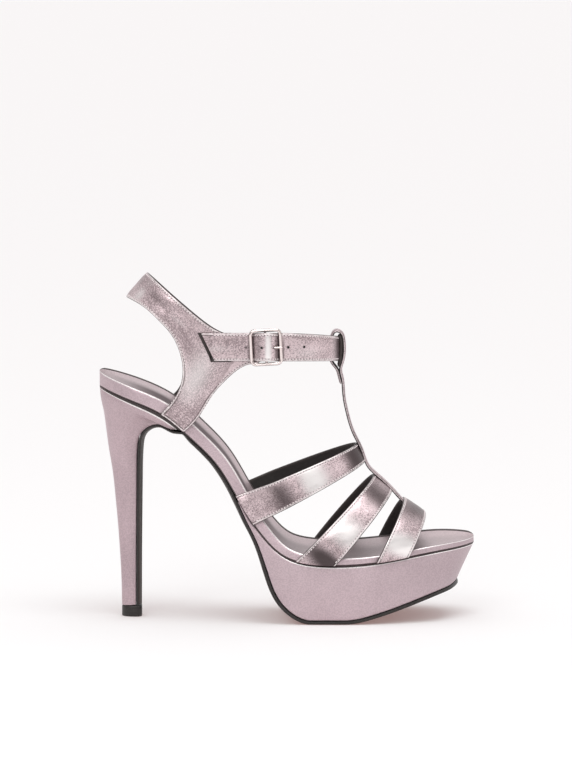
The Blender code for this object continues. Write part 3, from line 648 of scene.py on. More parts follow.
def edge_marks() -> bpy.types.NodeTree:
    """Marks beside a folded edge, from the distance to it: a dark line of painted shade at the very edge, a
    band for a painted highlight on the rim, and the stitch groove for painted shade.

    Returns:
        The group.
    """
    takes = {"Distance": "Float", "Vector": "Vector"}
    nodes, given, out = group("edge marks", takes, {"Paint": "Float", "Rim": "Float", "Groove": "Float"})
    edge_shade_end, rim_start, rim_end = (0.00014, 0.00030), (0.00022, 0.00042), (0.00065, 0.0011)
    groove_side = (0.00012, 0.00050)
    distance = given["Distance"]
    rise = nodes.ramp(distance, *rim_start)
    rim = nodes.math("MULTIPLY", rise, nodes.ramp(distance, *rim_end, 1.0, 0.0))
    broken = nodes.ramp(nodes.noise(given["Vector"], 600.0, 3.0), 0.36, 0.62, 0.35, 1.0)
    nodes.feed(out.inputs["Rim"], nodes.math("MULTIPLY", rim, broken))
    nodes.feed(out.inputs["Paint"], nodes.ramp(distance, *edge_shade_end, 1.0, 0.0))
    away = nodes.math("ABSOLUTE", nodes.math("SUBTRACT", distance, float(NEAR_EDGE[STITCH_COLUMN])))
    nodes.feed(out.inputs["Groove"], nodes.ramp(away, *groove_side, 1.0, 0.0))
    return nodes.tree


def fine_grain() -> bpy.types.NodeTree:
    """Pressed grain of a thin leather cover, as a height and soft clouds.

    Returns:
        The group.
    """
    nodes, given, out = group("fine grain", {"Vector": "Vector"}, {"Height": "Float", "Clouds": "Float"})
    place = given["Vector"]
    cells = nodes.add("TexVoronoi", {"Vector": place, "Scale": 1500.0})
    pits = nodes.ramp(cells.outputs["Distance"], 0.0, 0.6)
    sparkle = nodes.ramp(nodes.noise(place, SPARKLE_SCALE, 1.5), 0.38, 0.62)
    nodes.feed(out.inputs["Height"], nodes.blend((pits, 0.5), (nodes.noise(place, 520.0, 3.0), 0.5)))
    broad = nodes.ramp(nodes.noise(place, 42.0, 3.0), 0.3, 0.7, 0.0, 0.4)
    nodes.feed(out.inputs["Clouds"], nodes.math("ADD", broad, nodes.math("MULTIPLY", sparkle, 0.6)))
    return nodes.tree


@dataclass(frozen=True)
class Finish:
    """What every finish has: a name and a share of metal."""

    name: str
    metallic: float = 0.0

    def start(self) -> tuple[bpy.types.Material, Nodes, bpy.types.Node]:
        """A new material.

        Returns:
            The material, its nodes and its Principled shader.
        """
        made = bpy.data.materials.new(self.name)
        made.use_nodes = True
        shader = made.node_tree.nodes["Principled BSDF"]
        shader.inputs["Metallic"].default_value = self.metallic
        return made, Nodes(made.node_tree), shader

    def place(self, nodes: Nodes) -> bpy.types.NodeSocket:
        """The object's own coordinates in metres."""
        return nodes.add("TexCoord").outputs["Object"]

    def bump(
        self, nodes: Nodes, height: object, distance: float, strength: float, under: object = None
    ) -> bpy.types.NodeSocket:
        """A bump of this depth, laid over another one where given.

        Args:
            nodes: the material's nodes.
            height: the pattern.
            distance: its depth in metres.
            strength: from 0 to 1.
            under: the normal that it lies on.

        Returns:
            The bent normal.
        """
        takes = {"Height": height, "Distance": distance, "Strength": strength}
        if under is not None:
            takes["Normal"] = under
        return nodes.add("Bump", takes).outputs[0]


@dataclass(frozen=True)
class FoilLeather(Finish):
    """Crinkled rose foil leather."""

    main: tuple[float, ...] = (0.74, 0.60, 0.62, 1)
    shaded: tuple[float, ...] = (0.34, 0.262, 0.275, 1)
    # The next two colours are painted shade and painted highlight, laid on by the painted light zones.
    painted_shade: tuple[float, ...] = (0.085, 0.064, 0.066, 1)
    bright: tuple[float, ...] = (0.98, 0.94, 0.93, 1)
    # Painted highlight along the rim of each folded edge.
    painted_light_colour: tuple[float, ...] = (0.95, 0.90, 0.89, 1)
    # Near-black painted shade, at the very edge and in the stitch groove.
    edge_and_groove_shade: tuple[float, ...] = (0.055, 0.042, 0.040, 1)
    rough: tuple[float, float] = (0.30, 0.44)
    crinkle_depth: float = 0.00009
    wave_depth: float = 0.0005
    groove_shade_share: float = 0.62
    rim_highlight_share: float = 0.80

    def make(self, crinkle: bpy.types.NodeTree, marks: bpy.types.NodeTree) -> bpy.types.Material:
        """The material: foil tones, crinkle and soft waves, with painted highlight and painted shade zones,
        painted shade in the stitch groove and at the very edge, and a painted highlight along the rim of each
        folded edge.

        Args:
            crinkle: the crinkle's group.
            marks: the edge marks' group.

        Returns:
            The material.
        """
        made, nodes, shader = self.start()
        lay = nodes.attribute("lay").outputs["Vector"]
        tone = nodes.attribute("tone").outputs["Fac"]
        pattern = nodes.add("Group", {}, node_tree=crinkle)
        nodes.feed(pattern.inputs["Vector"], lay)
        mark = nodes.add("Group", {}, node_tree=marks)
        nodes.feed(mark.inputs["Distance"], nodes.add("SeparateXYZ", {0: lay}).outputs["Z"])
        nodes.feed(mark.inputs["Vector"], self.place(nodes))
        colour = nodes.mix(nodes.ramp(pattern.outputs["Tone"], 0.0, 1.0), self.shaded, self.main)
        # Painted shade, then painted highlight, from the painted light zones.
        colour = nodes.mix(nodes.ramp(tone, 0.0, -1.0), colour, self.painted_shade)
        colour = nodes.mix(nodes.ramp(tone, 0.0, 1.0), colour, self.bright)
        # Painted shade in the stitch groove, a painted highlight on the rim and painted shade at the very
        # edge.
        groove = nodes.math("MULTIPLY", mark.outputs["Groove"], self.groove_shade_share)
        colour = nodes.mix(groove, colour, self.edge_and_groove_shade)
        colour = nodes.mix(nodes.math("MULTIPLY", mark.outputs["Rim"], self.rim_highlight_share), colour, self.painted_light_colour)
        nodes.feed(shader.inputs["Base Color"], nodes.mix(mark.outputs["Paint"], colour, self.edge_and_groove_shade))
        rough = nodes.ramp(pattern.outputs["Height"], 0.3, 0.7, *self.rough)
        nodes.feed(shader.inputs["Roughness"], rough)
        waves = nodes.noise(nodes.stretched(lay, (1.0, 0.55, 0.0)), 75.0, 2.0)
        under = self.bump(nodes, waves, self.wave_depth, 1.0)
        over = self.bump(nodes, pattern.outputs["Height"], self.crinkle_depth, 0.8, under)
        nodes.feed(shader.inputs["Normal"], over)
        return made


@dataclass(frozen=True)
class SatinCover(Finish):
    """Thin metallic leather drawn over the heel, the platform and the insole."""

    metallic: float = 0.55
    main: tuple[float, ...] = (0.655, 0.525, 0.558, 1)
    low: tuple[float, ...] = (0.51, 0.40, 0.43, 1)
    rough: tuple[float, float] = (0.38, 0.52)
    grain_depth: float = 0.00006
    swell_depth: float = 0.0004
    front_shade: float = 0.0
    near_shade: float = 0.0
    dark_share: float = 0.30
    shade_rough: float = 0.9

    def dark(self) -> tuple[float, ...]:
        """The colour that the shaded places fade to."""
        return (*(self.dark_share * value for value in self.low[:3]), 1.0)

    def sock_shade(self, nodes: Nodes) -> bpy.types.NodeSocket:
        """Where the sock is darker: on its near half, most of all at the waist.

        Args:
            nodes: the material's nodes.

        Returns:
            The shade, from 0 to 1.
        """
        lay = nodes.add("SeparateXYZ", {0: nodes.attribute("lay").outputs["Vector"]}).outputs
        near = nodes.ramp(lay["Y"], 0.55, 0.05, 0.0, self.near_shade)
        rear = nodes.ramp(lay["X"], 0.42, 0.72, 1.0, 0.25)
        seat = nodes.ramp(lay["X"], 0.02, 0.15, 0.30, 1.0)
        return nodes.math("MULTIPLY", near, nodes.math("MULTIPLY", rear, seat))

    def make(self, grain: bpy.types.NodeTree) -> bpy.types.Material:
        """The material, with its pressed grain and soft clouds.

        Args:
            grain: the grain's group.

        Returns:
            The material.
        """
        made, nodes, shader = self.start()
        place = self.place(nodes)
        pattern = nodes.add("Group", {}, node_tree=grain)
        nodes.feed(pattern.inputs["Vector"], place)
        height = pattern.outputs["Height"]
        colour = nodes.mix(pattern.outputs["Clouds"], self.low, self.main)
        rough = nodes.ramp(height, 0.2, 0.8, *self.rough)
        if self.front_shade:
            x = nodes.add("SeparateXYZ", {0: place}).outputs["X"]
            colour = nodes.mix(nodes.ramp(x, 0.030, 0.095, 0.0, self.front_shade), colour, self.dark())
        if self.near_shade:
            shade = self.sock_shade(nodes)
            colour = nodes.mix(shade, colour, self.dark())
            rough = nodes.math("MAXIMUM", rough, nodes.math("MULTIPLY", shade, self.shade_rough))
        nodes.feed(shader.inputs["Base Color"], colour)
        nodes.feed(shader.inputs["Roughness"], rough)
        swell = self.bump(nodes, nodes.noise(place, 60.0), self.swell_depth, 0.6)
        nodes.feed(shader.inputs["Normal"], self.bump(nodes, height, self.grain_depth, 0.6, swell))
        return made


@dataclass(frozen=True)
class PlainFinish(Finish):
    """A finish of two tones with fine noise: lining, rubber, thread and metal."""

    main: tuple[float, ...] = (0.02, 0.017, 0.016, 1)
    other: tuple[float, ...] = (0.035, 0.03, 0.028, 1)
    rough: tuple[float, float] = (0.6, 0.8)
    scale: float = 900.0
    stretch: tuple[float, float, float] = (1.0, 1.0, 1.0)
    depth: float = 0.00008
    ribs: float = 0.0
    rib_depth: float = 0.0005

    def make(self) -> bpy.types.Material:
        """The material, with ribs along the sole where it has them.

        Returns:
            The material.
        """
        made, nodes, shader = self.start()
        place = self.place(nodes)
        grain = nodes.noise(nodes.stretched(place, self.stretch), self.scale, 3.0, 0.6)
        colour = nodes.mix(nodes.ramp(grain, 0.3, 0.7), self.main, self.other)
        nodes.feed(shader.inputs["Base Color"], colour)
        nodes.feed(shader.inputs["Roughness"], nodes.ramp(grain, 0.3, 0.7, *self.rough))
        under = None
        if self.ribs:
            takes = {"Vector": nodes.stretched(place, (1.0, 0.35, 0.0)), "Scale": self.ribs}
            wave = nodes.add("TexWave", takes, bands_direction="X")
            under = self.bump(nodes, wave.outputs["Fac"], self.rib_depth, 0.7)
        nodes.feed(shader.inputs["Normal"], self.bump(nodes, grain, self.depth, 0.6, under))
        return made


class Finishes:
    """All the sandal's materials, made once."""

    def __init__(self) -> None:
        """Makes the shared groups and then each material."""
        crinkle, marks, grain = foil_crinkle(), edge_marks(), fine_grain()
        self.foil = FoilLeather("rose foil leather", metallic=0.72).make(crinkle, marks)
        self.satin = SatinCover("satin cover", front_shade=0.16).make(grain)
        heel = SatinCover("heel cover leather", 0.55, (0.60, 0.465, 0.497, 1), (0.46, 0.352, 0.378, 1))
        self.heel_satin = heel.make(grain)
        pale = (0.76, 0.63, 0.65, 1), (0.58, 0.47, 0.49, 1), (0.32, 0.46)
        self.sock = SatinCover("sock lining", 0.60, *pale, near_shade=0.95).make(grain)
        # Painted highlight: a near-white band on the rims of the platform, the heel cover and the insole.
        painted_highlight = (0.98, 0.94, 0.93, 1), (0.78, 0.71, 0.71, 1), (0.25, 0.35)
        self.rim = SatinCover("rubbed rim", 0.5, *painted_highlight).make(grain)
        # Near-black painted shade for the insole's groove and its lower edge.
        dark = (0.060, 0.046, 0.046, 1), (0.11, 0.086, 0.086, 1)
        self.groove = PlainFinish("dark groove", 0.0, *dark).make()
        # Near-black: on the straps' inner fold strip like the lining, and elsewhere painted shade at the top
        # seams of the platform and heel, inside the T-strap loop and behind the ankle strap's tail.
        painted = (0.035, 0.027, 0.026, 1), (0.06, 0.046, 0.044, 1)
        self.edge = PlainFinish("painted edge", 0.0, *painted).make()
        self.lining = PlainFinish("black lining", rough=(0.55, 0.75)).make()
        black = (0.017, 0.014, 0.013, 1), (0.032, 0.027, 0.025, 1), (0.36, 0.5)
        self.rubber = PlainFinish("black rubber", 0.0, *black).make()
        brown = (0.050, 0.040, 0.036, 1), (0.075, 0.06, 0.055, 1), (0.5, 0.66)
        self.bottom = PlainFinish("sole underside", 0.0, *brown, ribs=260.0).make()
        rose = (0.70, 0.60, 0.61, 1), (0.88, 0.80, 0.80, 1), (0.4, 0.6)
        self.thread = PlainFinish("stitching thread", 0.0, *rose, scale=2600.0).make()
        # Darker metal on the buckle frame's two sides: painted shade that draws the frame's dark outlines.
        painted_light_colour = (0.20, 0.155, 0.15, 1), (0.30, 0.24, 0.23, 1), (0.25, 0.40)
        self.painted_side_shade = PlainFinish("aged metal", 1.0, *painted_light_colour).make()
        shiny = (0.84, 0.73, 0.71, 1), (0.93, 0.83, 0.81, 1), (0.08, 0.18)
        brushed = {"stretch": (1.0, 1.0, 0.15), "depth": 0.00002}
        self.metal = PlainFinish("pale rose metal", 1.0, *shiny, **brushed).make()


class Maker:
    """Turns points and faces into pieces that ride on the model."""

    WIRE_SIDES = 20

    def __init__(self, shift: np.ndarray) -> None:
        """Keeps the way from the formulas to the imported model."""
        self.shift = shift

    def piece(
        self,
        name: str,
        points: np.ndarray,
        faces: list,
        finishes: list[bpy.types.Material],
        slots: np.ndarray | None = None,
        lay: np.ndarray | None = None,
        sharp: float = 40.0,
        tone: np.ndarray | None = None,
    ) -> bpy.types.Object:
        """A closed mesh object.

        Args:
            name: the piece's name.
            points: one row per point, in the formulas' frame.
            faces: lists of point numbers.
            finishes: the materials, in the order of their numbers.
            slots: material number of each face.
            lay: along, across and distance to the edge, for each point.
            sharp: edges over this angle stay sharp.
            tone: painted highlight (above 0) and painted shade (below 0) of the foil at each point.

        Returns:
            The object.
        """
        mesh = bpy.data.meshes.new(name)
        mesh.from_pydata((np.asarray(points) + self.shift).tolist(), [], faces)
        for finish in finishes:
            mesh.materials.append(finish)
        if slots is not None:
            mesh.polygons.foreach_set("material_index", np.asarray(slots, np.int32))
        held_values = (("lay", "FLOAT_VECTOR", "vector", lay), ("tone", "FLOAT", "value", tone))
        for label, kind, field, values in held_values:
            if values is not None:
                held = mesh.attributes.new(label, kind, "POINT").data
                held.foreach_set(field, np.asarray(values, np.float32).ravel())
        shaped = bmesh.new()
        shaped.from_mesh(mesh)
        bmesh.ops.recalc_face_normals(shaped, faces=shaped.faces)
        if shaped.calc_volume(signed=True) < 0:
            bmesh.ops.reverse_faces(shaped, faces=shaped.faces)
        shaped.to_mesh(mesh)
        shaped.free()
        mesh.shade_smooth()
        mesh.set_sharp_from_angle(angle=math.radians(sharp))
        made = bpy.data.objects.new(name, mesh)
        bpy.context.scene.collection.objects.link(made)
        return made

    def loft(
        self,
        name: str,
        rings: list,
        finishes: list[bpy.types.Material],
        columns: np.ndarray | None = None,
        sharp: float = 50.0,
        lay: np.ndarray | None = None,
    ) -> bpy.types.Object:
        """A closed piece through rings of equally many points.

        Args:
            name: the piece's name.
            rings: lists of points, the ends closed by ladders of faces.
            finishes: the materials.
            columns: material number of the faces at each place round the ring, or of each row of them.
            sharp: edges over this angle stay sharp.
            lay: along, across and height, for each point.

        Returns:
            The object.
        """
        points = np.array(rings, float)
        count = points.shape[1]
        faces, ends = tube_faces(len(points), count)
        slots = None
        if columns is not None:
            grid = np.broadcast_to(columns, (len(points) - 1, count))
            slots = np.concatenate([grid.ravel(), np.zeros(len(ends), int)])
        return self.piece(name, points.reshape(-1, 3), faces + ends, finishes, slots, lay, sharp)

    def wire(
        self,
        name: str,
        route: np.ndarray,
        radii: tuple[np.ndarray | float, np.ndarray | float],
        plane: tuple[float, float, float],
        finish: bpy.types.Material,
        closed: bool = False,
        painted_side_shade: bpy.types.Material | None = None,
    ) -> bpy.types.Object:
        """A wire along a route in one plane.

        Args:
            name: the piece's name.
            route: the middle line's points.
            radii: half thickness along the plane's normal and in the plane.
            plane: the normal of the route's plane.
            finish: the material.
            closed: whether the route closes on itself.
            painted_side_shade: the darker material of the wire's two sides, painted shade that draws dark
                outlines, where they have one.

        Returns:
            The object.
        """
        ahead = np.roll(route, -1, axis=0) - np.roll(route, 1, axis=0)
        if not closed:
            ahead[0], ahead[-1] = route[1] - route[0], route[-1] - route[-2]
        up = np.array(plane, float)
        side = unit(np.cross(ahead, up))
        sides = self.WIRE_SIDES
        turns = np.arange(sides) / sides * 2 * math.pi
        tall, wide = (np.broadcast_to(np.asarray(r, float), len(route))[:, None, None] for r in radii)
        ring = np.cos(turns)[None, :, None] * up * tall
        ring = ring + np.sin(turns)[None, :, None] * side[:, None] * wide
        points = route[:, None] + ring
        faces, ends = tube_faces(len(route), sides, closed)
        if painted_side_shade is None:
            return self.piece(name, points.reshape(-1, 3), faces + ends, [finish])
        # The faces on the wire's two sides in its plane take the painted shade material.
        painted_shade = np.abs(np.sin(turns + math.pi / sides)) > 0.80
        slots = np.tile(painted_shade.astype(int), len(faces) // sides)
        slots = np.concatenate([slots, np.zeros(len(ends), int)])
        return self.piece(name, points.reshape(-1, 3), faces + ends, [finish, painted_side_shade], slots)

    def carve(self, piece: bpy.types.Object, cutter: bpy.types.Object) -> None:
        """Cuts one piece out of another and removes the cutter.

        Args:
            piece: what is cut.
            cutter: what is cut away.
        """
        change = piece.modifiers.new("opening", "BOOLEAN")
        change.operation = "DIFFERENCE"
        change.solver = "EXACT"
        change.material_mode = "TRANSFER"
        change.object = cutter
        graph = bpy.context.evaluated_depsgraph_get()
        made = bpy.data.meshes.new_from_object(piece.evaluated_get(graph))
        piece.modifiers.clear()
        piece.data = made
        bpy.data.objects.remove(cutter)

    def settle(self, piece: bpy.types.Object, slot: Slot, *nodes: str) -> None:
        """Rides a finished piece on the model and hides the nodes that it stands for.

        Args:
            piece: the finished piece.
            slot: its material slot; not used.
            nodes: the nodes that it replaces.
        """
        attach(piece, BODY)
        if nodes:
            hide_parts(*nodes)
        log.info("%s: %d faces", piece.name, len(piece.data.polygons))


def tube_faces(rows: int, count: int, closed: bool = False) -> tuple[list, list]:
    """Faces of a tube of rings, and those that close its two ends.

    Args:
        rows: number of rings.
        count: points in a ring.
        closed: whether the last ring meets the first.

    Returns:
        The tube's faces and the ends' faces.
    """
    row = np.arange(rows if closed else rows - 1)[:, None]
    column = np.arange(count)[None, :]
    after = (row + 1) % rows
    beside = (column + 1) % count
    corners = [row * count + column, row * count + beside, after * count + beside, after * count + column]
    faces = np.stack(np.broadcast_arrays(*corners), axis=-1).reshape(-1, 4).tolist()
    ends = []
    for first in () if closed else (0, (rows - 1) * count):
        for i in range(count // 2):
            near, far = i + 1, count - 2 - i
            if near < far:
                ends.append([first + i, first + near, first + far, first + count - 1 - i])
            elif near == far:
                ends.append([first + i, first + near, first + count - 1 - i])
    return faces, ends


@dataclass
class PaintedLightZone:
    """A soft zone of painted shade (amount below 0) or painted highlight (amount above 0) on the foil, placed
    in the side view in metres.
    """

    x: float
    z: float
    along: float
    across: float
    turn: float
    amount: float

    def tone(self, points: np.ndarray) -> np.ndarray:
        """The zone's strength at each point.

        Args:
            points: places in the formulas' frame.

        Returns:
            One number per point.
        """
        turn = math.radians(self.turn)
        x, z = points[..., 0] - self.x, points[..., 2] - self.z
        ahead = (x * math.cos(turn) + z * math.sin(turn)) / self.along
        beside = (z * math.cos(turn) - x * math.sin(turn)) / self.across
        return self.amount * np.exp(-(ahead**2) - beside**2)


def edge_gap(points: np.ndarray, edge: np.ndarray) -> np.ndarray:
    """Distance of each point from a line of short pieces.

    Args:
        points: the places.
        edge: points of the line.

    Returns:
        One distance per place.
    """
    nearest = np.full(points.shape[:-1], 1.0)
    for start, end in zip(edge[:-1], edge[1:]):
        run = end - start
        share = np.clip((points - start) @ run / max(run @ run, 1e-14), 0, 1)
        nearest = np.minimum(nearest, np.linalg.norm(points - start - share[..., None] * run, axis=-1))
    return nearest


@dataclass
class Crease:
    """A soft trough (or, with a depth below 0, a ridge) across a strap, in metres along and across it."""

    start: tuple[float, float]
    end: tuple[float, float]
    width: float
    depth: float

    def lower(self, along: np.ndarray, across: np.ndarray) -> np.ndarray:
        """How far the crease lowers each place.

        Args:
            along: metres along the strap.
            across: metres from its middle.

        Returns:
            One depth per place.
        """
        run = np.subtract(self.end, self.start)
        x, y = along - self.start[0], across - self.start[1]
        share = np.clip((x * run[0] + y * run[1]) / run.dot(run), 0, 1)
        away = np.hypot(x - share * run[0], y - share * run[1])
        return self.depth * np.exp(-((away / self.width) ** 2))


@dataclass
class Strap:
    """A strap of folded leather over its lining, built on a grid of middle points."""

    name: str
    grid: np.ndarray
    thick: np.ndarray | float
    inside: tuple[float, float, float | None]
    pitch: float | None = 0.0008
    middle_columns: int = 16
    soft_ends: tuple[bool, bool] = (True, True)
    crown: float = 0.00025
    crown_reach: float = 0.005
    groove: float = 0.00016
    groove_half: float = 0.00038
    edge_reach: float = 0.0007
    fold_lap: float = 0.0011
    stitch_pitch: float = 0.00175
    creases: tuple[Crease, ...] = ()
    # Zones of painted highlight and painted shade on the foil.
    painted_light_zones: tuple[PaintedLightZone, ...] = ()
    true_gap: bool = False
    plain_edge: float = 0.0
    sharp: float = 60.0

    def resampled(self) -> tuple[np.ndarray, np.ndarray, np.ndarray]:
        """The grid's rows at even steps, with finer ones at both ends.

        Returns:
            The rows, their places along the strap and half their thickness.
        """
        grid = np.asarray(self.grid, float)
        steps = np.linalg.norm(np.diff(grid, axis=0), axis=2).mean(axis=1)
        knots = np.concatenate([[0], np.cumsum(steps)])
        thick = np.broadcast_to(np.asarray(self.thick, float), len(grid))
        places = knots
        if self.pitch:
            length = knots[-1]
            places = np.linspace(0, length, int(length / self.pitch))[1:-1]
            places = places[(places > NEAR_END[-1]) & (places < length - NEAR_END[-1])]
            places = np.concatenate([NEAR_END, places, length - NEAR_END[::-1]])
            grid = spline(knots, grid.reshape(len(grid), -1), places).reshape(len(places), -1, 3)
        return grid, places, np.interp(places, knots, thick) / 2

    def outward(self, middle: np.ndarray) -> np.ndarray:
        """The middle surface's normals, turned away from the inside.

        Args:
            middle: the middle surface's points.

        Returns:
            One normal per point.
        """
        normal = unit(np.cross(np.gradient(middle, axis=0), np.gradient(middle, axis=1)))
        x, y, z = self.inside
        away = middle - np.array([x, y, 0.0])
        away[..., 2] = 0.0 if z is None else middle[..., 2] - z
        return -normal if (normal * away).sum() < 0 else normal

    def end_fit(self, places: np.ndarray, half: np.ndarray) -> np.ndarray:
        """How much of its thickness each row keeps, which falls at a soft end.

        Args:
            places: the rows' places along the strap.
            half: half their thickness.

        Returns:
            One share per row.
        """
        fit = np.ones(len(places))
        for soft, reach in zip(self.soft_ends, (places, places[-1] - places)):
            if soft:
                fit *= np.sqrt(np.clip(1 - np.clip(1 - reach / half, 0, 1) ** 2, 0.002, 1))
        return fit

    def shape(self) -> None:
        """Works out the outer and inner surface."""
        grid, places, half = self.resampled()
        shares, gap = self.across_shares(grid)
        middle = spread(grid, shares)
        if self.true_gap:
            gap = np.minimum(edge_gap(middle, middle[:, 0]), edge_gap(middle, middle[:, -1]))
        width = np.linalg.norm(np.diff(grid, axis=1), axis=2).sum(axis=1)
        across = (shares - 0.5) * width[:, None]
        along = np.broadcast_to(places[:, None], shares.shape)
        ends = self.end_fit(places, half)
        full = np.sqrt(1 - np.clip(1 - gap / half[:, None], 0, 1) ** 2) * (half * ends)[:, None]
        relief = self.crown * ease(gap / self.crown_reach)
        relief = relief - self.groove * np.exp(-(((gap - NEAR_EDGE[STITCH_COLUMN]) / self.groove_half) ** 2))
        for crease in self.creases:
            relief = relief - crease.lower(along, across)
        relief = relief * ease(gap / self.edge_reach) * ends[:, None]
        self.normal = self.outward(middle)
        self.outer = middle + self.normal * (full + relief)[..., None]
        self.inner = middle - self.normal * full[..., None]
        self.places = places
        self.lay = np.stack([along, across, gap + self.plain_edge], axis=-1)
        # Painted highlight and painted shade on the foil at each point, summed from the painted light zones.
        self.tone = sum((shade.tone(middle) for shade in self.painted_light_zones), np.zeros(shares.shape))

    def across_shares(self, grid: np.ndarray) -> tuple[np.ndarray, np.ndarray]:
        """Shares across each row that keep their true distance from the edges.

        Args:
            grid: rows x columns x 3 middle points.

        Returns:
            The shares, and each place's distance from the nearer edge.
        """
        width = np.linalg.norm(np.diff(grid, axis=1), axis=2).sum(axis=1)
        reach = []
        for edge, beside in ((0, 1), (-1, -2)):
            tangent = unit(np.gradient(grid[:, edge], axis=0))
            inward = unit(grid[:, beside] - grid[:, edge])
            span = width * np.linalg.norm(np.cross(tangent, inward), axis=1)
            reach.append(np.convolve(np.pad(span, 5, mode="edge"), np.full(11, 1 / 11), mode="valid"))
        near = [np.minimum(NEAR_EDGE / span[:, None], 0.45 * NEAR_EDGE / NEAR_EDGE[-1]) for span in reach]
        steps = np.linspace(0, 1, self.middle_columns + 2)[1:-1]
        start, end = near[0][:, -1:], 1 - near[1][:, -1:]
        shares = np.hstack([near[0], start + (end - start) * steps, 1 - near[1][:, ::-1]])
        gap = np.minimum(shares * reach[0][:, None], (1 - shares) * reach[1][:, None])
        gap[:, 0] = gap[:, -1] = 0.0
        return shares, gap

    def build(self, maker: Maker, finishes: Finishes) -> bpy.types.Object:
        """The strap's closed mesh: leather outside and round the edges, lining inside.

        Args:
            maker: makes the piece.
            finishes: the materials.

        Returns:
            The strap.
        """
        self.shape()
        points = np.concatenate([self.outer, self.inner[:, -2:0:-1]], axis=1)
        lay = np.concatenate([self.lay, self.lay[:, -2:0:-1]], axis=1)
        rows, count = points.shape[:2]
        faces, ends = tube_faces(rows, count)
        outer_count = self.outer.shape[1]
        inner = np.arange(count) >= outer_count
        lined = inner & np.roll(inner, -1)
        slots = np.where(lined[None, :], np.where(lay[:-1, :, 2] > self.fold_lap, 1, 2), 0)
        numbers = np.concatenate([slots.ravel(), np.zeros(len(ends), int)])
        tone = np.concatenate([self.tone, self.tone[:, -2:0:-1]], axis=1)
        return maker.piece(
            self.name,
            points.reshape(-1, 3),
            faces + ends,
            [finishes.foil, finishes.lining, finishes.edge],
            numbers,
            lay.reshape(-1, 3),
            self.sharp,
            tone.ravel(),
        )

    def stitches(
        self, maker: Maker, finishes: Finishes, runs: list[tuple[Edge, float, float]]
    ) -> bpy.types.Object:
        """Rows of thread in the grooves beside the edges.

        Args:
            maker: makes the piece.
            finishes: the materials.
            runs: for each row of stitches its edge, start and end in metres along the strap.

        Returns:
            One object with every stitch.
        """
        found: tuple[list, list, list] = ([], [], [])
        for edge, start, end in runs:
            column = STITCH_COLUMN if edge is Edge.FIRST else -1 - STITCH_COLUMN
            keep = (self.places >= start) & (self.places <= end)
            track = self.outer[keep, column]
            run = np.concatenate([[0], np.cumsum(np.linalg.norm(np.diff(track, axis=0), axis=1))])
            marks = np.arange(self.stitch_pitch / 2, run[-1], self.stitch_pitch)
            for held, rows in zip(found, (track, np.gradient(track, run, axis=0), self.normal[keep, column])):
                held.append(np.stack([np.interp(marks, run, axis) for axis in rows.T], axis=1))
        centre, tangent, normal = (np.concatenate(rows) for rows in found)
        points, faces = stitch_mesh(centre, unit(tangent), unit(normal), self.stitch_pitch)
        return maker.piece(f"{self.name}_stitches", points, faces, [finishes.thread])


def stitch_mesh(
    centre: np.ndarray, tangent: np.ndarray, normal: np.ndarray, pitch: float
) -> tuple[np.ndarray, list]:
    """Small arched stitches, one at each centre.

    Args:
        centre: the middle of each stitch.
        tangent: its direction.
        normal: upwards from the leather.
        pitch: distance from stitch to stitch.

    Returns:
        The points and the faces of every stitch.
    """
    thread_radius, rise, sunk, flat, half_share = 0.00027, 0.00015, 0.00004, 1.15, 0.36
    side = unit(np.cross(tangent, normal))
    shares = np.array([-1.0, -0.82, -0.45, 0.0, 0.45, 0.82, 1.0])
    radius = thread_radius * np.array([0.45, 0.85, 1.0, 1.0, 1.0, 0.85, 0.45])
    arch = rise * (1 - shares**2) - sunk
    sides = 7
    turns = np.arange(sides) / sides * 2 * math.pi
    place = (centre[:, None] + tangent[:, None] * (shares * pitch * half_share)[None, :, None])[:, :, None]
    lifted = arch[:, None] + radius[:, None] * np.sin(turns)
    place = place + normal[:, None, None] * lifted[None, ..., None]
    place = place + side[:, None, None] * (radius[:, None] * np.cos(turns) * flat)[None, ..., None]
    size = len(shares) * sides
    faces = tube_faces(len(shares), sides)[0] + [list(range(sides)), list(range(size - sides, size))]
    every = [[corner + i * size for corner in face] for i in range(len(centre)) for face in faces]
    return place.reshape(-1, 3), every


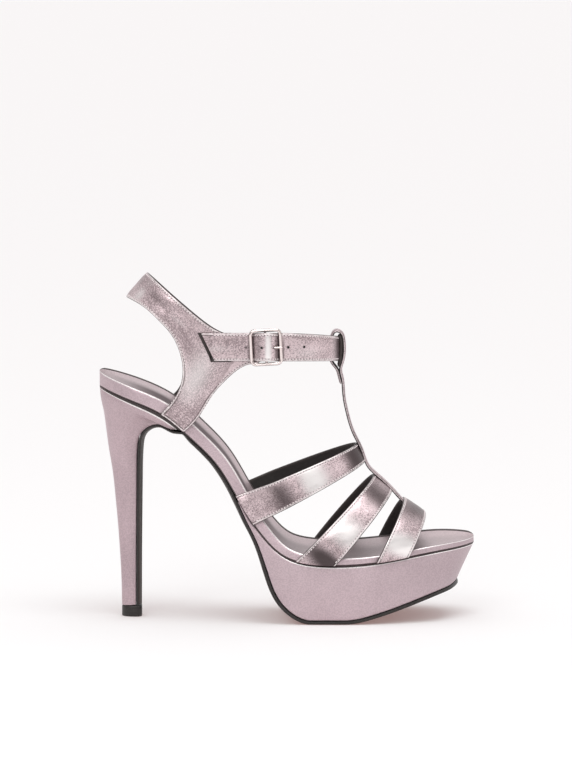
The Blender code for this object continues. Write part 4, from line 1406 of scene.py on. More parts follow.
@dataclass
class Sole:
    """Platform cover, outsole, heel cover and top piece."""

    last: Last
    maker: Maker
    finishes: Finishes
    platform_taper: float = 0.075
    waist_crown: float = 0.0018
    flap_edge: float = 0.0012
    waist_edge: float = 0.0016
    flat_snap: float = 0.00012
    wedge_tip: float = 0.012
    top_piece_height: float = 0.0060
    top_piece_width: float = 0.0118
    heel_set_in: float = 0.0124
    top_round: tuple[float, float] = (0.0007, 0.0011)
    foot_round: tuple[float, float] = (0.0004, 0.0008)
    taper_power: float = 1.3
    waist_drop: float = 0.35
    waist_narrow: float = 0.05
    flap_share: float = 0.90
    edge_round: float = 0.28
    heel_back_rows: Rows = (
        (0.000, 0.985), (0.163, 0.955), (0.343, 0.850), (0.496, 0.715), (0.625, 0.575), (0.727, 0.400),
        (0.830, 0.260), (0.881, 0.185), (0.940, 0.055), (1.000, 0.000),
    )
    heel_rows: Rows = (
        (0.000, 0.200, 0.75), (0.160, 0.209, 0.75), (0.320, 0.226, 0.75), (0.480, 0.262, 0.74),
        (0.600, 0.320, 0.72), (0.680, 0.395, 0.70), (0.730, 0.470, 0.67), (0.770, 0.540, 0.65),
        (0.800, 0.595, 0.63), (0.825, 0.645, 0.62), (0.850, 0.695, 0.61), (0.875, 0.750, 0.59),
        (0.900, 0.805, 0.58), (0.925, 0.860, 0.57), (0.950, 0.915, 0.55), (0.975, 0.965, 0.54),
        (1.000, 1.000, 0.53),
    )

    def __post_init__(self) -> None:
        """Reads the tables."""
        self.backs = Table(self.heel_back_rows)
        self.widths = Table(self.heel_rows)
        self.heel_y = self.last.plans.value(self.last.heel_round) * self.last.ball_width

    def heel_half(self, up: float) -> tuple[float, float]:
        """Half width of the heel and the round share of its depth."""
        wide, round_share = self.widths.row(up)
        return float(wide) * self.last.plan(self.last.seat_middle)[1], float(round_share)

    def heel_share(self, up: float) -> float:
        """The heel's front on the sole line, at this share of its height."""
        return 1 + (self.last.waist_end + self.wedge_tip - 1) * up

    def heel_back(self, up: float) -> np.ndarray:
        """The heel's back in the side view.

        Args:
            up: share of the heel's height.

        Returns:
            The place.
        """
        start = self.top_piece_height + self.last.clearance
        height = start + up * (self.last.seat_height - start)
        inset = self.backs.value(height / self.last.seat_height) * self.heel_set_in
        return np.array([self.last.x(0) + inset, height])

    def platform(self) -> None:
        """The platform's cover, with a soft edge at its top and a tighter one at the sole."""
        last = self.last
        stations = rounded(1, 1 - last.toe_round, 26, 0.03)
        stations += spaced(1 - last.toe_round, last.platform_start, 110)[1:]
        levels = [0.0, 0.015, 0.04] + spaced(0.08, 0.92, 14) + [0.955, 0.975, 0.99, 1.0]
        rings = []
        for share in stations[::-1]:
            point, _, normal = last.foot(share)
            top = point - normal * (last.depth(share) + last.clearance)
            sole_share = last.sole.share_near(last.sole_point(share))
            base = last.sole.at(sole_share) + right_of(last.sole.along(sole_share)) * last.clearance
            base[1] = max(base[1], last.outsole_thick + last.clearance)
            drop = last.soles.row(share)[0]
            middle, half = last.plan(share)
            tall = float(np.linalg.norm(top - base))
            side = []
            for level in levels:
                round_off = self.top_round[0] * max(1 - (1 - level) * tall / self.top_round[1], 0) ** 2
                round_off += self.foot_round[0] * max(1 - level * tall / self.foot_round[1], 0) ** 2
                wide = half * (1 - self.platform_taper * drop * (1 - level) ** self.taper_power)
                side.append((base + (top - base) * level, max(wide - round_off, 0.3 * wide)))
            rings.append(mirrored(side, middle))
        count = len(levels)
        columns = np.zeros(2 * count, int)
        # Near the top edge: a painted highlight band (finish 1) under a near-black band of painted shade at
        # the seam with the insole (finish 2).
        columns[[count - 3, count - 2, count, count + 1]] = 2
        columns[[count - 4, count + 2]] = 1
        finishes = [self.finishes.satin, self.finishes.rim, self.finishes.edge]
        made = self.maker.loft("platform_cover", rings, finishes, columns)
        self.maker.settle(made, Slot.SATIN, "platform")

    def outsole_section(self, share: float, below: Table) -> tuple[float, float, float, float]:
        """Middle line, half width, edge thickness and crown of the outsole.

        Args:
            share: share of the sole line.
            below: share of the footbed for a share of the sole line.

        Returns:
            The four sizes, in that order.
        """
        last = self.last
        if share <= last.waist_end:
            foot_share = below.value(share)
            drop = last.soles.row(foot_share)[0]
            middle, half = last.plan(foot_share)
            waist = 1 - min(drop / self.waist_drop, 1)
            half *= 1 - self.platform_taper * drop - self.waist_narrow * waist
            into = min(max((foot_share - last.waist_start) / 0.05, 0), 1)
            edge = last.outsole_thick + (self.waist_edge - last.outsole_thick) * waist
            return middle, half, self.flap_edge + (edge - self.flap_edge) * into, self.waist_crown * waist
        up = (1 - share) / (1 - last.waist_end)
        blend = min(max((up - 0.93) / 0.07, 0), 1)
        waist_half = last.plan(last.waist_start)[1] * (1 - self.waist_narrow)
        half = self.heel_half(min(up, 1))[0] * self.flap_share * (1 - blend) + waist_half * blend
        middle = self.heel_y * (1 - blend) + last.plan(last.waist_start)[0] * blend
        return middle, half, self.flap_edge, self.waist_crown

    def outsole(self) -> None:
        """The outsole from the toe to the foot of the breast, black edged and brown below."""
        last = self.last
        stations = rounded(1, 1 - last.toe_round, 22, 0.03)
        stations += spaced(1 - last.toe_round, last.waist_start, 150)[1:]
        shares = [last.sole.share_near(last.sole_point(share)) for share in stations]
        shares += [self.heel_share(up) for up in spaced(1.0, 0.0, 90)]
        shares = sorted(set(shares))
        ways = [(last.sole.share_near(last.sole_point(s)), s) for s in spaced(1.0, last.waist_start, 60)]
        below = Table(tuple(ways))
        across = [1.0, 0.985, 0.95] + spaced(0.88, -0.88, 16) + [-0.95, -0.985, -1.0]
        rings = []
        for share in shares:
            point = last.sole.at(share)
            normal = right_of(last.sole.along(share))
            middle, half, edge, crown = self.outsole_section(share, below)
            if abs(point[1] - last.outsole_thick) < self.flat_snap:
                point[1], normal = last.outsole_thick, np.array([0.0, 1.0])
            sides = [(0.0, 0.9), (0.12, 0.995), (0.5, 1.0), (0.8, 1.0)]
            lower = []
            for part in across:
                round_off = self.edge_round * edge * max(abs(part) - 0.95, 0) / 0.05
                place = point - normal * (edge + crown * (1 - part**2) - round_off)
                place[1] = max(place[1], 0.0)
                lower.append(in_plane(place, middle + half * part))
            walls = mirrored([(point - normal * edge * deep, half * wide) for deep, wide in sides], middle)
            rings.append(walls[: len(sides)] + lower[::-1] + walls[len(sides) :])
        count = len(rings[0])
        columns = np.zeros(count, int)
        columns[len(sides) + 1 : count - len(sides) - 2] = 1
        made = self.maker.loft("sole_unit", rings, [self.finishes.rubber, self.finishes.bottom], columns)
        self.maker.settle(made, Slot.RUBBER, "outsole")

    def heel(self) -> None:
        """The heel's cover."""
        last = self.last
        rounds = quarter_turns()
        straights = spaced(0, 1, 8)[1:]
        rings = []
        for up in spaced(0.0, 0.975, 110):
            half, round_share = self.heel_half(up)
            share = self.heel_share(up)
            front = last.sole.at(share) + right_of(last.sole.along(share)) * last.clearance
            front[1] = max(front[1], self.top_piece_height + last.clearance)
            back = self.heel_back(up)
            side = [(round_share * (1 - math.cos(turn)), math.sin(turn)) for turn in rounds]
            side += [(round_share + (1 - round_share) * s, 1 - 0.08 * s - 0.06 * s**6) for s in straights]
            places = [(back + (front - back) * a, half * b) for a, b in side]
            rings.append(mirrored(places, self.heel_y))
        left, right = [], []
        for share in rounded(0, last.heel_round, 20, 0.04) + spaced(last.heel_round, last.wedge_end, 8)[1:]:
            height = -last.depth(share) - last.clearance
            left.append(last.foot_point(share, last.edge_y(share, -1, -last.clearance), height))
            right.append(last.foot_point(share, last.edge_y(share, 1, -last.clearance), height))
        seat, below = np.array(left + right[::-1]), np.array(rings[-1])
        rings += [seat + (below - seat) * share for share in (0.45, 0.30, 0.18)] + [seat]
        rows = np.zeros((len(rings) - 1, 1), int)
        # The last steps under the insole: a painted highlight band, then near-black painted shade at the
        # seam.
        rows[-3:, 0] = 1, 2, 2
        finishes = [self.finishes.heel_satin, self.finishes.rim, self.finishes.edge]
        made = self.maker.loft("heel_cover", rings, finishes, rows, 60.0)
        self.maker.settle(made, Slot.SATIN, "heel")

    def top_piece(self) -> None:
        """The rubber top piece under the heel."""
        tall = self.top_piece_height
        share = self.heel_share(0)
        front = self.last.sole.at(share)
        back = self.heel_back(0)
        deep = front[0] + self.flap_edge + self.waist_crown - back[0]
        side = [(0.62 * (1 - math.cos(turn)), math.sin(turn)) for turn in quarter_turns()]
        side += [(0.74, 0.995), (0.85, 0.96), (0.93, 0.88), (1.0, 0.70)]
        rings = []
        layers = [(0.0, 0.0005), (0.0001, 0.0002), (0.0004, 0.0)]
        layers += [(tall * share, 0.0) for share in (0.3, 0.6, 0.93)] + [(tall, 0.0002)]
        for height, inset in layers:
            places = []
            for a, b in side:
                x = back[0] + inset + (deep - 2 * inset) * a
                places.append((np.array([x, height]), (self.top_piece_width / 2 - inset) * b))
            rings.append(mirrored(places, self.heel_y))
        made = self.maker.loft("heel_tip", rings, [self.finishes.rubber])
        self.maker.settle(made, Slot.RUBBER, "top_piece")

    def build(self) -> None:
        """Every piece of the sole."""
        self.outsole()
        self.platform()
        self.heel()
        self.top_piece()


@dataclass
class Insole:
    """The covered insole: side band, rolled rim, groove and the dished sock."""

    last: Last
    maker: Maker
    finishes: Finishes
    rim: float = 0.0017
    dish: float = 0.0015
    inner_lift: float = 0.0012
    rim_fade: float = 0.012
    groove_inset: float = 0.0044
    groove_depth: float = 0.0017
    rim_turn: float = 0.72
    sock_drop: float = 0.35
    bowl_share: float = 0.75
    bowl_power: float = 2.4

    def profile(self, depth: float, fit: float) -> list[tuple[float, float]]:
        """Inset and height from the lower edge over the rim into the sock.

        Args:
            depth: thickness of the insole.
            fit: from 0 to 1, how much room the rim has.

        Returns:
            The places, in order.
        """
        rim = min(self.rim, depth / 3) * fit
        line = [(0.4 * rim, -depth), (0.12 * rim, -depth + 0.12 * rim), (0.0, -depth + 0.4 * rim)]
        line += [(-0.00004, -depth + (depth - rim) * s) for s in (0.35, 0.6, 0.85)]
        for turn in spaced(0, math.pi * self.rim_turn, 12):
            line.append((rim * (1 - math.cos(turn)), -rim + rim * math.sin(turn)))
        sock = -self.sock_drop * self.dish * fit
        floor = min(sock, -0.4 * rim) - self.groove_depth * fit * 0.5
        inset = self.groove_inset * fit
        start = line[-1]
        for share in (0.25, 0.5, 0.75):
            line.append((start[0] + (inset - start[0]) * share, start[1] + (floor - start[1]) * share))
        line += [(inset, floor), (inset + 0.0002 * fit, floor + 0.0001 * fit)]
        line += [(inset + 0.00035 * fit, sock - 0.0002 * fit), (inset + 0.0006 * fit, sock)]
        line += [(inset + 0.0012 * fit, sock + 0.0001 * fit), (inset + 0.0022 * fit, sock)]
        return line

    def build(self) -> None:
        """The insole's closed cover and its sock as two finishes of one piece, with two more: a painted
        highlight on the rolled rim and near-black painted shade in the groove and along the lower edge.
        """
        last = self.last
        stations = rounded(0, last.heel_round, 30, 0.03)
        stations += spaced(last.heel_round, 1 - last.toe_round, 190)[1:]
        stations += rounded(1, 1 - last.toe_round, 30, 0.03)[::-1][1:]
        across = spaced(-0.80, 0.80, 22)
        rings, lay = [], []
        for share in stations:
            middle, half = last.plan(share)
            depth = last.depth(share)
            fit = min(1.0, half / self.rim_fade)
            lift = self.inner_lift * fit
            line = self.profile(depth, fit)
            left = [(middle - half + inset, height) for inset, height in line]
            right = []
            for inset, height in line[::-1]:
                raised = lift * float(ease((height + depth) / (depth * 0.6)))
                right.append((middle + half - inset, height + raised))
            inner = half - line[-1][0]
            start, end = line[-1][1], line[-1][1] + lift
            pad = []
            for part in across:
                bowl = -self.dish * self.bowl_share * fit * (1 - abs(part / 0.999) ** self.bowl_power)
                pad.append((middle + inner * part, start + (end - start) * (part + 1) / 2 + bowl))
            outline = left + pad + right
            rings.append([last.foot_point(share, y, height) for y, height in outline])
            lay += [(share, (y - middle) / max(half, 1e-4), height) for y, height in outline]
        count = len(rings[0])
        satin, sock, rim, groove = range(4)
        numbers = np.full(count, satin)
        # Near-black painted shade on the two lowest columns and from the rim's inner side down into the
        # groove, a painted highlight band on the rolled rim.
        numbers[:2] = numbers[13:23] = groove
        numbers[9:12] = rim
        numbers[23 : count // 2] = sock
        columns = np.maximum(numbers, np.roll(numbers[::-1], -1))
        finishes = [self.finishes.satin, self.finishes.sock, self.finishes.rim, self.finishes.groove]
        made = self.maker.loft("insole_cover", rings, finishes, columns, lay=np.array(lay))
        self.maker.settle(made, Slot.SATIN, "insole")


@dataclass
class VampStraps:
    """Three straps over the forefoot."""

    last: Last
    maker: Maker
    finishes: Finishes
    thick: float = 0.0018
    roundness: float = 2.15
    rim_reach: float = 0.30
    band_share: float = 1.1
    columns: int = 8
    steps: int = 26
    stitch_margin: float = 0.002
    inside_drop: float = 0.02
    names: tuple[str, ...] = ("vamp_strap_rear", "vamp_strap_middle", "vamp_strap_front")
    feet: Rows = (
        (0.4260, 0.4980, 0.4260, 0.4980), (0.6060, 0.6890, 0.6300, 0.7080),
        (0.7760, 0.8480, 0.7780, 0.8500),
    )
    tops: tuple[Rows, ...] = (
        ((0.6870, 0.250, 0.630), (0.7110, 0.200, 0.532)),
        ((0.7335, 0.130, 0.522), (0.7840, 0.100, 0.415)),
        ((0.8150, 0.060, 0.404), (0.8750, 0.040, 0.282)),
    )
    creases: tuple[tuple[Crease, ...], ...] = (
        (
            Crease((0.014, -0.006), (0.020, 0.006), 0.0022, 0.00030),
            Crease((0.024, -0.007), (0.027, 0.003), 0.0030, -0.00025),
            Crease((0.036, -0.003), (0.041, 0.007), 0.0026, 0.00022),
            Crease((0.120, -0.006), (0.125, 0.006), 0.0030, 0.00022),
        ),
        (
            Crease((0.010, -0.007), (0.013, 0.006), 0.0024, 0.00026),
            Crease((0.028, -0.006), (0.033, 0.007), 0.0030, 0.00020),
            Crease((0.044, -0.007), (0.046, 0.002), 0.0024, 0.00020),
        ),
        (
            Crease((0.009, -0.006), (0.012, 0.006), 0.0024, 0.00024),
            Crease((0.030, -0.006), (0.033, 0.006), 0.0028, 0.00020),
        ),
    )
    # Painted light on each strap: zones of painted shade and painted highlight.
    painted_light_zones: tuple[tuple[PaintedLightZone, ...], ...] = (
        (
            PaintedLightZone(-0.0012, 0.0702, 0.0074, 0.020, 28, -0.76),
            PaintedLightZone(0.0155, 0.0800, 0.0078, 0.020, 28, 1.00),
            PaintedLightZone(0.0385, 0.0910, 0.0072, 0.020, 28, -1.00),
        ),
        (
            PaintedLightZone(0.0505, 0.0700, 0.0060, 0.020, 51, -0.78),
            PaintedLightZone(0.0335, 0.0520, 0.0086, 0.020, 51, 0.85),
            PaintedLightZone(0.0245, 0.0345, 0.0062, 0.020, 51, -1.15),
        ),
        (
            PaintedLightZone(0.0730, 0.0610, 0.0052, 0.020, 68, -0.72),
            PaintedLightZone(0.0645, 0.0440, 0.0060, 0.020, 68, 1.10),
            PaintedLightZone(0.0600, 0.0330, 0.0035, 0.020, 68, -0.30),
        ),
    )

    def edge(self, outer_foot: float, inner_foot: float, top_row: tuple[float, ...]) -> list[np.ndarray]:
        """One line of a strap: up the insole's side, then arched over the instep.

        Args:
            outer_foot: share of the arc at the outer foot.
            inner_foot: the same at the inner foot.
            top_row: where the line crosses the middle.

        Returns:
            The line's points from the outer foot to the inner one.
        """
        last = self.last
        top = last.upper_point(top_row)
        out = last.clearance + self.thick / 2
        places: list[np.ndarray] = []
        for side, foot_share in ((-1, outer_foot), (1, inner_foot)):
            base = last.leg_foot(foot_share)
            band = self.band_share * last.depth(foot_share) / np.dot(top - base, last.foot(foot_share)[2])
            arm = [(0.0, 1.0), (band / 3, 1.0), (band * 2 / 3, 1.0)]
            for turn in spaced(0, math.pi / 2, self.steps):
                risen = math.sin(turn) ** (2 / self.roundness)
                wide = max(math.cos(turn), 0.0) ** (2 / self.roundness)
                arm.append((band + (1 - band) * risen, wide))
            points = []
            for risen, wide in arm:
                beside = base + (top - base) * min(risen, self.rim_reach)
                edges = [last.edge_y(s, side, out) for s in (foot_share, last.path.share_at_x(beside[0]))]
                edge = max(edges) if side > 0 else min(edges)
                y = last.ring_y + (edge - last.ring_y) * wide
                points.append(in_plane(base + (top - base) * risen, y))
            places += points if side < 0 else points[::-1][1:]
        return places

    def build(self) -> None:
        """The three straps and their stitches."""
        for number, name in enumerate(self.names):
            outer_rear, outer_front, inner_rear, inner_front = self.feet[number]
            rear, front = self.tops[number]
            columns = []
            for part in spaced(0, 1, self.columns):
                outer = outer_rear + (outer_front - outer_rear) * part
                inner = inner_rear + (inner_front - inner_rear) * part
                top = tuple(a + (b - a) * part for a, b in zip(rear, front))
                columns.append(self.edge(outer, inner, top))
            grid = np.stack(columns, axis=1)
            inside = (float(grid[..., 0].mean()), self.last.ring_y, self.last.ball_top - self.inside_drop)
            creases, painted_light_zones = self.creases[number], self.painted_light_zones[number]
            strap = Strap(name, grid, self.thick, inside, creases=creases, painted_light_zones=painted_light_zones)
            made = strap.build(self.maker, self.finishes)
            nodes = ("upper",) if number == 0 else ()
            self.maker.settle(made, Slot.FOIL, *nodes)
            end = float(strap.places[-1]) - self.stitch_margin
            runs = [(edge, self.stitch_margin, end) for edge in Edge]
            self.maker.settle(strap.stitches(self.maker, self.finishes, runs), Slot.FOIL)


@dataclass
class TStrap:
    """The strap up the instep and its loop round the ankle strap."""

    ring: AnkleRing
    maker: Maker
    finishes: Finishes
    thick: float = 0.0015
    width: float = 0.0110
    loop_depth: float = 0.0037
    rows: Rows = (
        (0.8560, 0.040, 0.322), (0.8130, 0.060, 0.392), (0.7960, 0.080, 0.425), (0.7720, 0.105, 0.476),
        (0.7400, 0.130, 0.540), (0.7205, 0.170, 0.545), (0.7040, 0.210, 0.628), (0.6810, 0.270, 0.702),
        (0.6630, 0.340, 0.792), (0.6545, 0.410, 0.838),
    )
    loop: Rows = (
        (0.66, -1.02), (0.44, -0.76), (0.78, -0.42), (1.00, -0.02), (0.92, 0.32), (0.45, 0.59),
        (-0.28, 0.64), (-0.96, 0.32), (-1.08, -0.12), (-0.85, -0.48), (-0.10, -0.72), (0.28, -1.00),
        (0.58, -1.24),
    )
    lining: Rows = ((0.22, -0.64), (0.38, -0.42), (0.50, -0.02), (0.46, 0.30), (0.26, 0.50))
    lining_thick: float = 0.0022
    lining_share: float = 0.96
    inside: tuple[float, float] = (-0.03, 0.06)
    # Painted shade on the T-strap.
    painted_light_zones: tuple[PaintedLightZone, ...] = (
        PaintedLightZone(0.030, 0.128, 0.004, 0.020, 90, -0.35),
        PaintedLightZone(0.036, 0.098, 0.006, 0.020, 90, -0.45),
    )

    def build(self) -> None:
        """The strap with its loop, and the loop's lining, a thick near-black block that also stands in for
        the shade inside the loop.
        """
        last = self.ring.last
        route = [last.upper_point(row) for row in self.rows] + self.loop_places(self.loop)
        outer = Strap(
            "t_strap",
            self.ribbon(route, 170, self.width),
            self.thick,
            (self.inside[0], last.ring_y, self.inside[1]),
            pitch=0.0006,
            middle_columns=10,
            painted_light_zones=self.painted_light_zones,
            plain_edge=0.0009,
            fold_lap=0.0010,
        )
        self.maker.settle(outer.build(self.maker, self.finishes), Slot.FOIL, "upper")
        # The loop's lining is a thick near-black block: part lining, part painted shade inside the loop.
        grid = self.ribbon(self.loop_places(self.lining), 40, self.width * self.lining_share)
        inside = (0.0, last.ring_y, None)
        lining = Strap("t_loop_lining_and_shade", grid, self.lining_thick, inside, middle_columns=6, crown=0.0)
        made = lining.build(self.maker, self.finishes)
        made.data.materials[0] = self.finishes.edge
        self.maker.settle(made, Slot.FOIL)

    def loop_places(self, rows: Rows) -> list[np.ndarray]:
        """Rows of the loop's tables as places of the side view.

        Args:
            rows: depth and height, as shares of the loop's depth and the ankle strap's width.

        Returns:
            One place per row.
        """
        ring = self.ring
        level = ring.level(ring.front)
        depth, width = self.loop_depth, ring.strap_width
        return [np.array([ring.front + deep * depth, level + high * width]) for deep, high in rows]

    def ribbon(self, route: list[np.ndarray], count: int, width: float) -> np.ndarray:
        """A flat grid along a route of the side view.

        Args:
            route: places of the side view.
            count: number of steps.
            width: width of the grid.

        Returns:
            Rows of five points.
        """
        path = Path(route)
        middle = self.ring.last.ring_y
        rows = []
        for share in spaced(0, 1, count):
            place = path.at(share)
            rows.append([in_plane(place, middle + width * part) for part in (-0.5, -0.25, 0, 0.25, 0.5)])
        return np.array(rows)


@dataclass
class Quarter:
    """Heel band, two side pieces and the tab that holds the buckle."""

    ring: AnkleRing
    maker: Maker
    finishes: Finishes
    band_round: float = 0.027
    splits: tuple[float, float] = (0.86, 0.92)
    feet: tuple[float, float] = (0.164, 0.236)
    tab_share: float = 0.90
    counts: tuple[int, int, int] = (64, 14, 40)
    tab_lead: int = 9
    lead_end: float = 0.92
    curl_end: float = 0.78
    foot_gap: float = 1.5
    inside_x: float = -0.03
    slot_half: tuple[float, float] = (0.0031, 0.0032)
    # Painted light on the heel band and side pieces: zones of painted shade and painted highlight.
    painted_light_zones: tuple[PaintedLightZone, ...] = (
        PaintedLightZone(-0.0858, 0.1870, 0.0016, 0.014, -45, -0.62),
        PaintedLightZone(-0.0800, 0.1830, 0.0026, 0.010, -45, 0.50),
        PaintedLightZone(-0.0720, 0.1815, 0.0110, 0.0022, -45, -0.40),
        PaintedLightZone(-0.0680, 0.1720, 0.0120, 0.0018, -47, -0.30),
        PaintedLightZone(-0.0600, 0.1690, 0.0140, 0.0020, -44, 0.30),
        PaintedLightZone(-0.0500, 0.1380, 0.0190, 0.0085, 62, 0.50),
        PaintedLightZone(-0.0600, 0.1180, 0.0040, 0.0100, 62, -0.22),
        PaintedLightZone(-0.0500, 0.1610, 0.0120, 0.0022, -25, -0.28),
    )
    top_rows: Rows = (
        (0.132, 1.008), (0.190, 0.800), (0.250, 0.600), (0.295, 0.466), (0.338, 0.382), (0.372, 0.360),
        (0.420, 0.358),
    )
    back_rows: Rows = (
        (0.0745, 0.757), (0.1200, 0.660), (0.1660, 0.503), (0.1970, 0.366), (0.2160, 0.218),
        (0.2250, 0.088), (0.224, -0.066), (0.215, -0.170), (0.190, -0.315),
    )
    front_rows: Rows = (
        (0.262, -0.460), (0.297, -0.255), (0.341, -0.070), (0.374, 0.032), (0.401, 0.078),
        (0.420, 0.088),
    )

    def band_point(self, row: tuple[float, ...]) -> np.ndarray:
        """A row of the band's tables as a place of the side view."""
        last = self.ring.last
        return np.array([last.x(row[0]), last.ball_top + last.heel_pitch + row[1] * self.ring.collar_height])

    def rails(self) -> tuple[list[np.ndarray], list[np.ndarray]]:
        """Upper and lower edge of a side piece, from the back of the heel to the end of its branch.

        Returns:
            The two edges, with as many places each.
        """
        last = self.ring.last
        back, foot, branch = self.counts
        upper = Path([self.band_point(row) for row in self.top_rows])
        rear = Path([self.band_point(row) for row in self.back_rows] + [last.leg_foot(self.feet[0])])
        front = Path([last.leg_foot(self.feet[1])] + [self.band_point(row) for row in self.front_rows])
        top, low = [], []
        for share in rounded(0, 1, back, 0.0):
            top.append(upper.at(self.splits[0] * share))
            low.append(rear.at(share))
        for share in spaced(0, 1, foot)[1:]:
            top.append(upper.at(self.splits[0] + (self.splits[1] - self.splits[0]) * share))
            low.append(last.leg_foot(self.feet[0] + (self.feet[1] - self.feet[0]) * share))
        for share in spaced(0, 1, branch)[1:]:
            top.append(upper.at(self.splits[1] + (1 - self.splits[1]) * share))
            low.append(front.at(share))
        return top, low

    def side_y(self, place: np.ndarray, side: int) -> float:
        """The side piece's middle surface, from the footbed's edge up to the ring.

        Args:
            place: place in the side view.
            side: -1 for the outer side, 1 for the inner.

        Returns:
            y.
        """
        last, ring = self.ring.last, self.ring
        share = min(max(last.path.share_at_x(place[0]), self.feet[0]), self.feet[1])
        low = last.leg_foot(share)[1]
        blend = float(ease((place[1] - low) / (ring.level(0) - low)))
        near_edge = last.edge_y(share, side, self.foot_gap * last.clearance + ring.band_thick / 2)
        y = near_edge + (last.ring_y + side * ring.width / 2 - near_edge) * blend
        corner = self.band_point(self.back_rows[0])
        inward = right_of(unit(self.band_point(self.top_rows[0]) - corner))
        reach = min(max(np.dot(place - corner, inward) / self.band_round, 0), 1)
        return last.ring_y + (y - last.ring_y) * math.sqrt(1 - (1 - reach) ** 2)

    def leaning(self, place: np.ndarray, y: float) -> np.ndarray:
        """A place on a side piece, raised or lowered with the ring's lean.

        Args:
            place: place in the side view.
            y: distance across.

        Returns:
            The point.
        """
        low = self.ring.last.leg_foot(self.feet[0])[1]
        up = min(max((place[1] - low) / (self.ring.level(0) - low), 0), 1)
        return np.array([place[0], y, place[1] + self.ring.lean(y) * up])

    def tab(self, ends: list[np.ndarray], across: list[float]) -> tuple[list, list[float]]:
        """Rows that lead from the outer branch round the centre bar.

        Args:
            ends: the branch's last row.
            across: shares across a row.

        Returns:
            The rows and their thickness.
        """
        ring = self.ring
        bar_y = ring.bar_line()
        radius = ring.centre_bar / 2 + ring.last.clearance + ring.tab_thick / 2
        end_x, end_y = ends[0][0], ends[0][1]
        curl, thick = [], []
        for step in spaced(0, self.lead_end, self.tab_lead)[1:]:
            blend = float(ease(step))
            curl.append((end_x + (ring.buckle_x - end_x) * step, end_y + (bar_y + radius - end_y) * blend))
            thick.append(ring.band_thick + (ring.tab_thick - ring.band_thick) * step)
        for turn in spaced(math.pi / 2, -math.pi * self.curl_end, 34):
            curl.append((ring.buckle_x + radius * math.cos(turn), bar_y + radius * math.sin(turn)))
            thick.append(ring.tab_thick)
        level = ring.level(ring.buckle_x) + ring.lean(bar_y)
        rows = []
        for number, (x, y) in enumerate(curl):
            settled = float(ease((number + 1) / self.tab_lead))
            row = []
            for share, point in zip(across, ends):
                tab_z = level + self.tab_share * ring.strap_width * (0.5 - share)
                row.append(np.array([x, y, point[2] + (tab_z - point[2]) * settled]))
            rows.append(row)
        return rows, thick

    def build(self) -> None:
        """The quarter with its tab, the prong's slot and the stitches."""
        across = spaced(0, 1, 12)
        top, low = self.rails()
        sides = {}
        for side in (-1, 1):
            sides[side] = []
            for a, b in zip(top, low):
                row = [a + (b - a) * share for share in across]
                sides[side].append([self.leaning(place, self.side_y(place, side)) for place in row])
        rows, tab_thick = self.tab(sides[-1][-1], across)
        grid = np.array(sides[1][::-1] + sides[-1][1:] + rows)
        side_rows = len(sides[1])
        thick = np.array([self.ring.band_thick] * (2 * side_rows - 1) + tab_thick)
        strap = Strap(
            "quarter_leather",
            grid,
            thick,
            (self.inside_x, self.ring.last.ring_y, None),
            pitch=None,
            middle_columns=26,
            soft_ends=(True, False),
            creases=self.streaks(grid, side_rows),
            painted_light_zones=self.painted_light_zones,
            true_gap=True,
        )
        made = strap.build(self.maker, self.finishes)
        self.slot_for_prong(made)
        self.maker.settle(made, Slot.FOIL, "quarter")
        self.maker.settle(self.stitching(strap, side_rows), Slot.FOIL)

    def streaks(self, grid: np.ndarray, side_rows: int) -> tuple[Crease, ...]:
        """Long soft troughs down the outer side of the heel band.

        Args:
            grid: the quarter's grid.
            side_rows: rows in one side piece.

        Returns:
            The troughs.
        """
        steps = np.linalg.norm(np.diff(grid, axis=0), axis=2).mean(axis=1)
        back = float(steps[: side_rows - 1].sum())
        return (
            Crease((back + 0.010, 0.004), (back + 0.040, 0.001), 0.0028, 0.00030),
            Crease((back + 0.014, -0.004), (back + 0.046, -0.006), 0.0030, -0.00026),
            Crease((back + 0.006, -0.001), (back + 0.022, 0.008), 0.0022, 0.00022),
            Crease((back + 0.052, -0.004), (back + 0.060, 0.012), 0.0040, 0.00030),
        )

    def slot_for_prong(self, made: bpy.types.Object) -> None:
        """Cuts the slot in the tab that the prong turns in.

        Args:
            made: the quarter.
        """
        ring = self.ring
        half = np.array([*self.slot_half, (ring.prong + 3 * ring.last.clearance) / 2])
        bar_y = ring.bar_line()
        centre = np.array([ring.buckle_x, bar_y, ring.level(ring.buckle_x) + ring.lean(bar_y)])
        signs = np.array([(x, y, z) for x in (-1, 1) for y in (-1, 1) for z in (-1, 1)])
        faces = [[0, 1, 3, 2], [4, 6, 7, 5], [0, 4, 5, 1], [2, 3, 7, 6], [0, 2, 6, 4], [1, 5, 7, 3]]
        cutter = self.maker.piece("tab_slot", centre + signs * half, faces, [self.finishes.lining])
        self.maker.carve(made, cutter)

    def stitching(self, strap: Strap, side_rows: int) -> bpy.types.Object:
        """Stitches along the upper edge and along both free edges of each leg.

        Args:
            strap: the quarter's strap.
            side_rows: rows in one side piece.

        Returns:
            The stitches.
        """
        back, foot, _ = self.counts
        first, middle = 2, side_rows - 1
        end = 2 * side_rows - 4
        spans = [(Edge.FIRST, first, middle - 3), (Edge.FIRST, middle + 3, end)]
        spans += [(Edge.LAST, middle + 5, middle + back - 2), (Edge.LAST, middle + back + foot + 2, end)]
        spans += [(Edge.LAST, middle - back + 2, middle - 5), (Edge.LAST, first, middle - back - foot - 2)]
        runs = [(edge, float(strap.places[a]), float(strap.places[b])) for edge, a, b in spans]
        return strap.stitches(self.maker, self.finishes, runs)


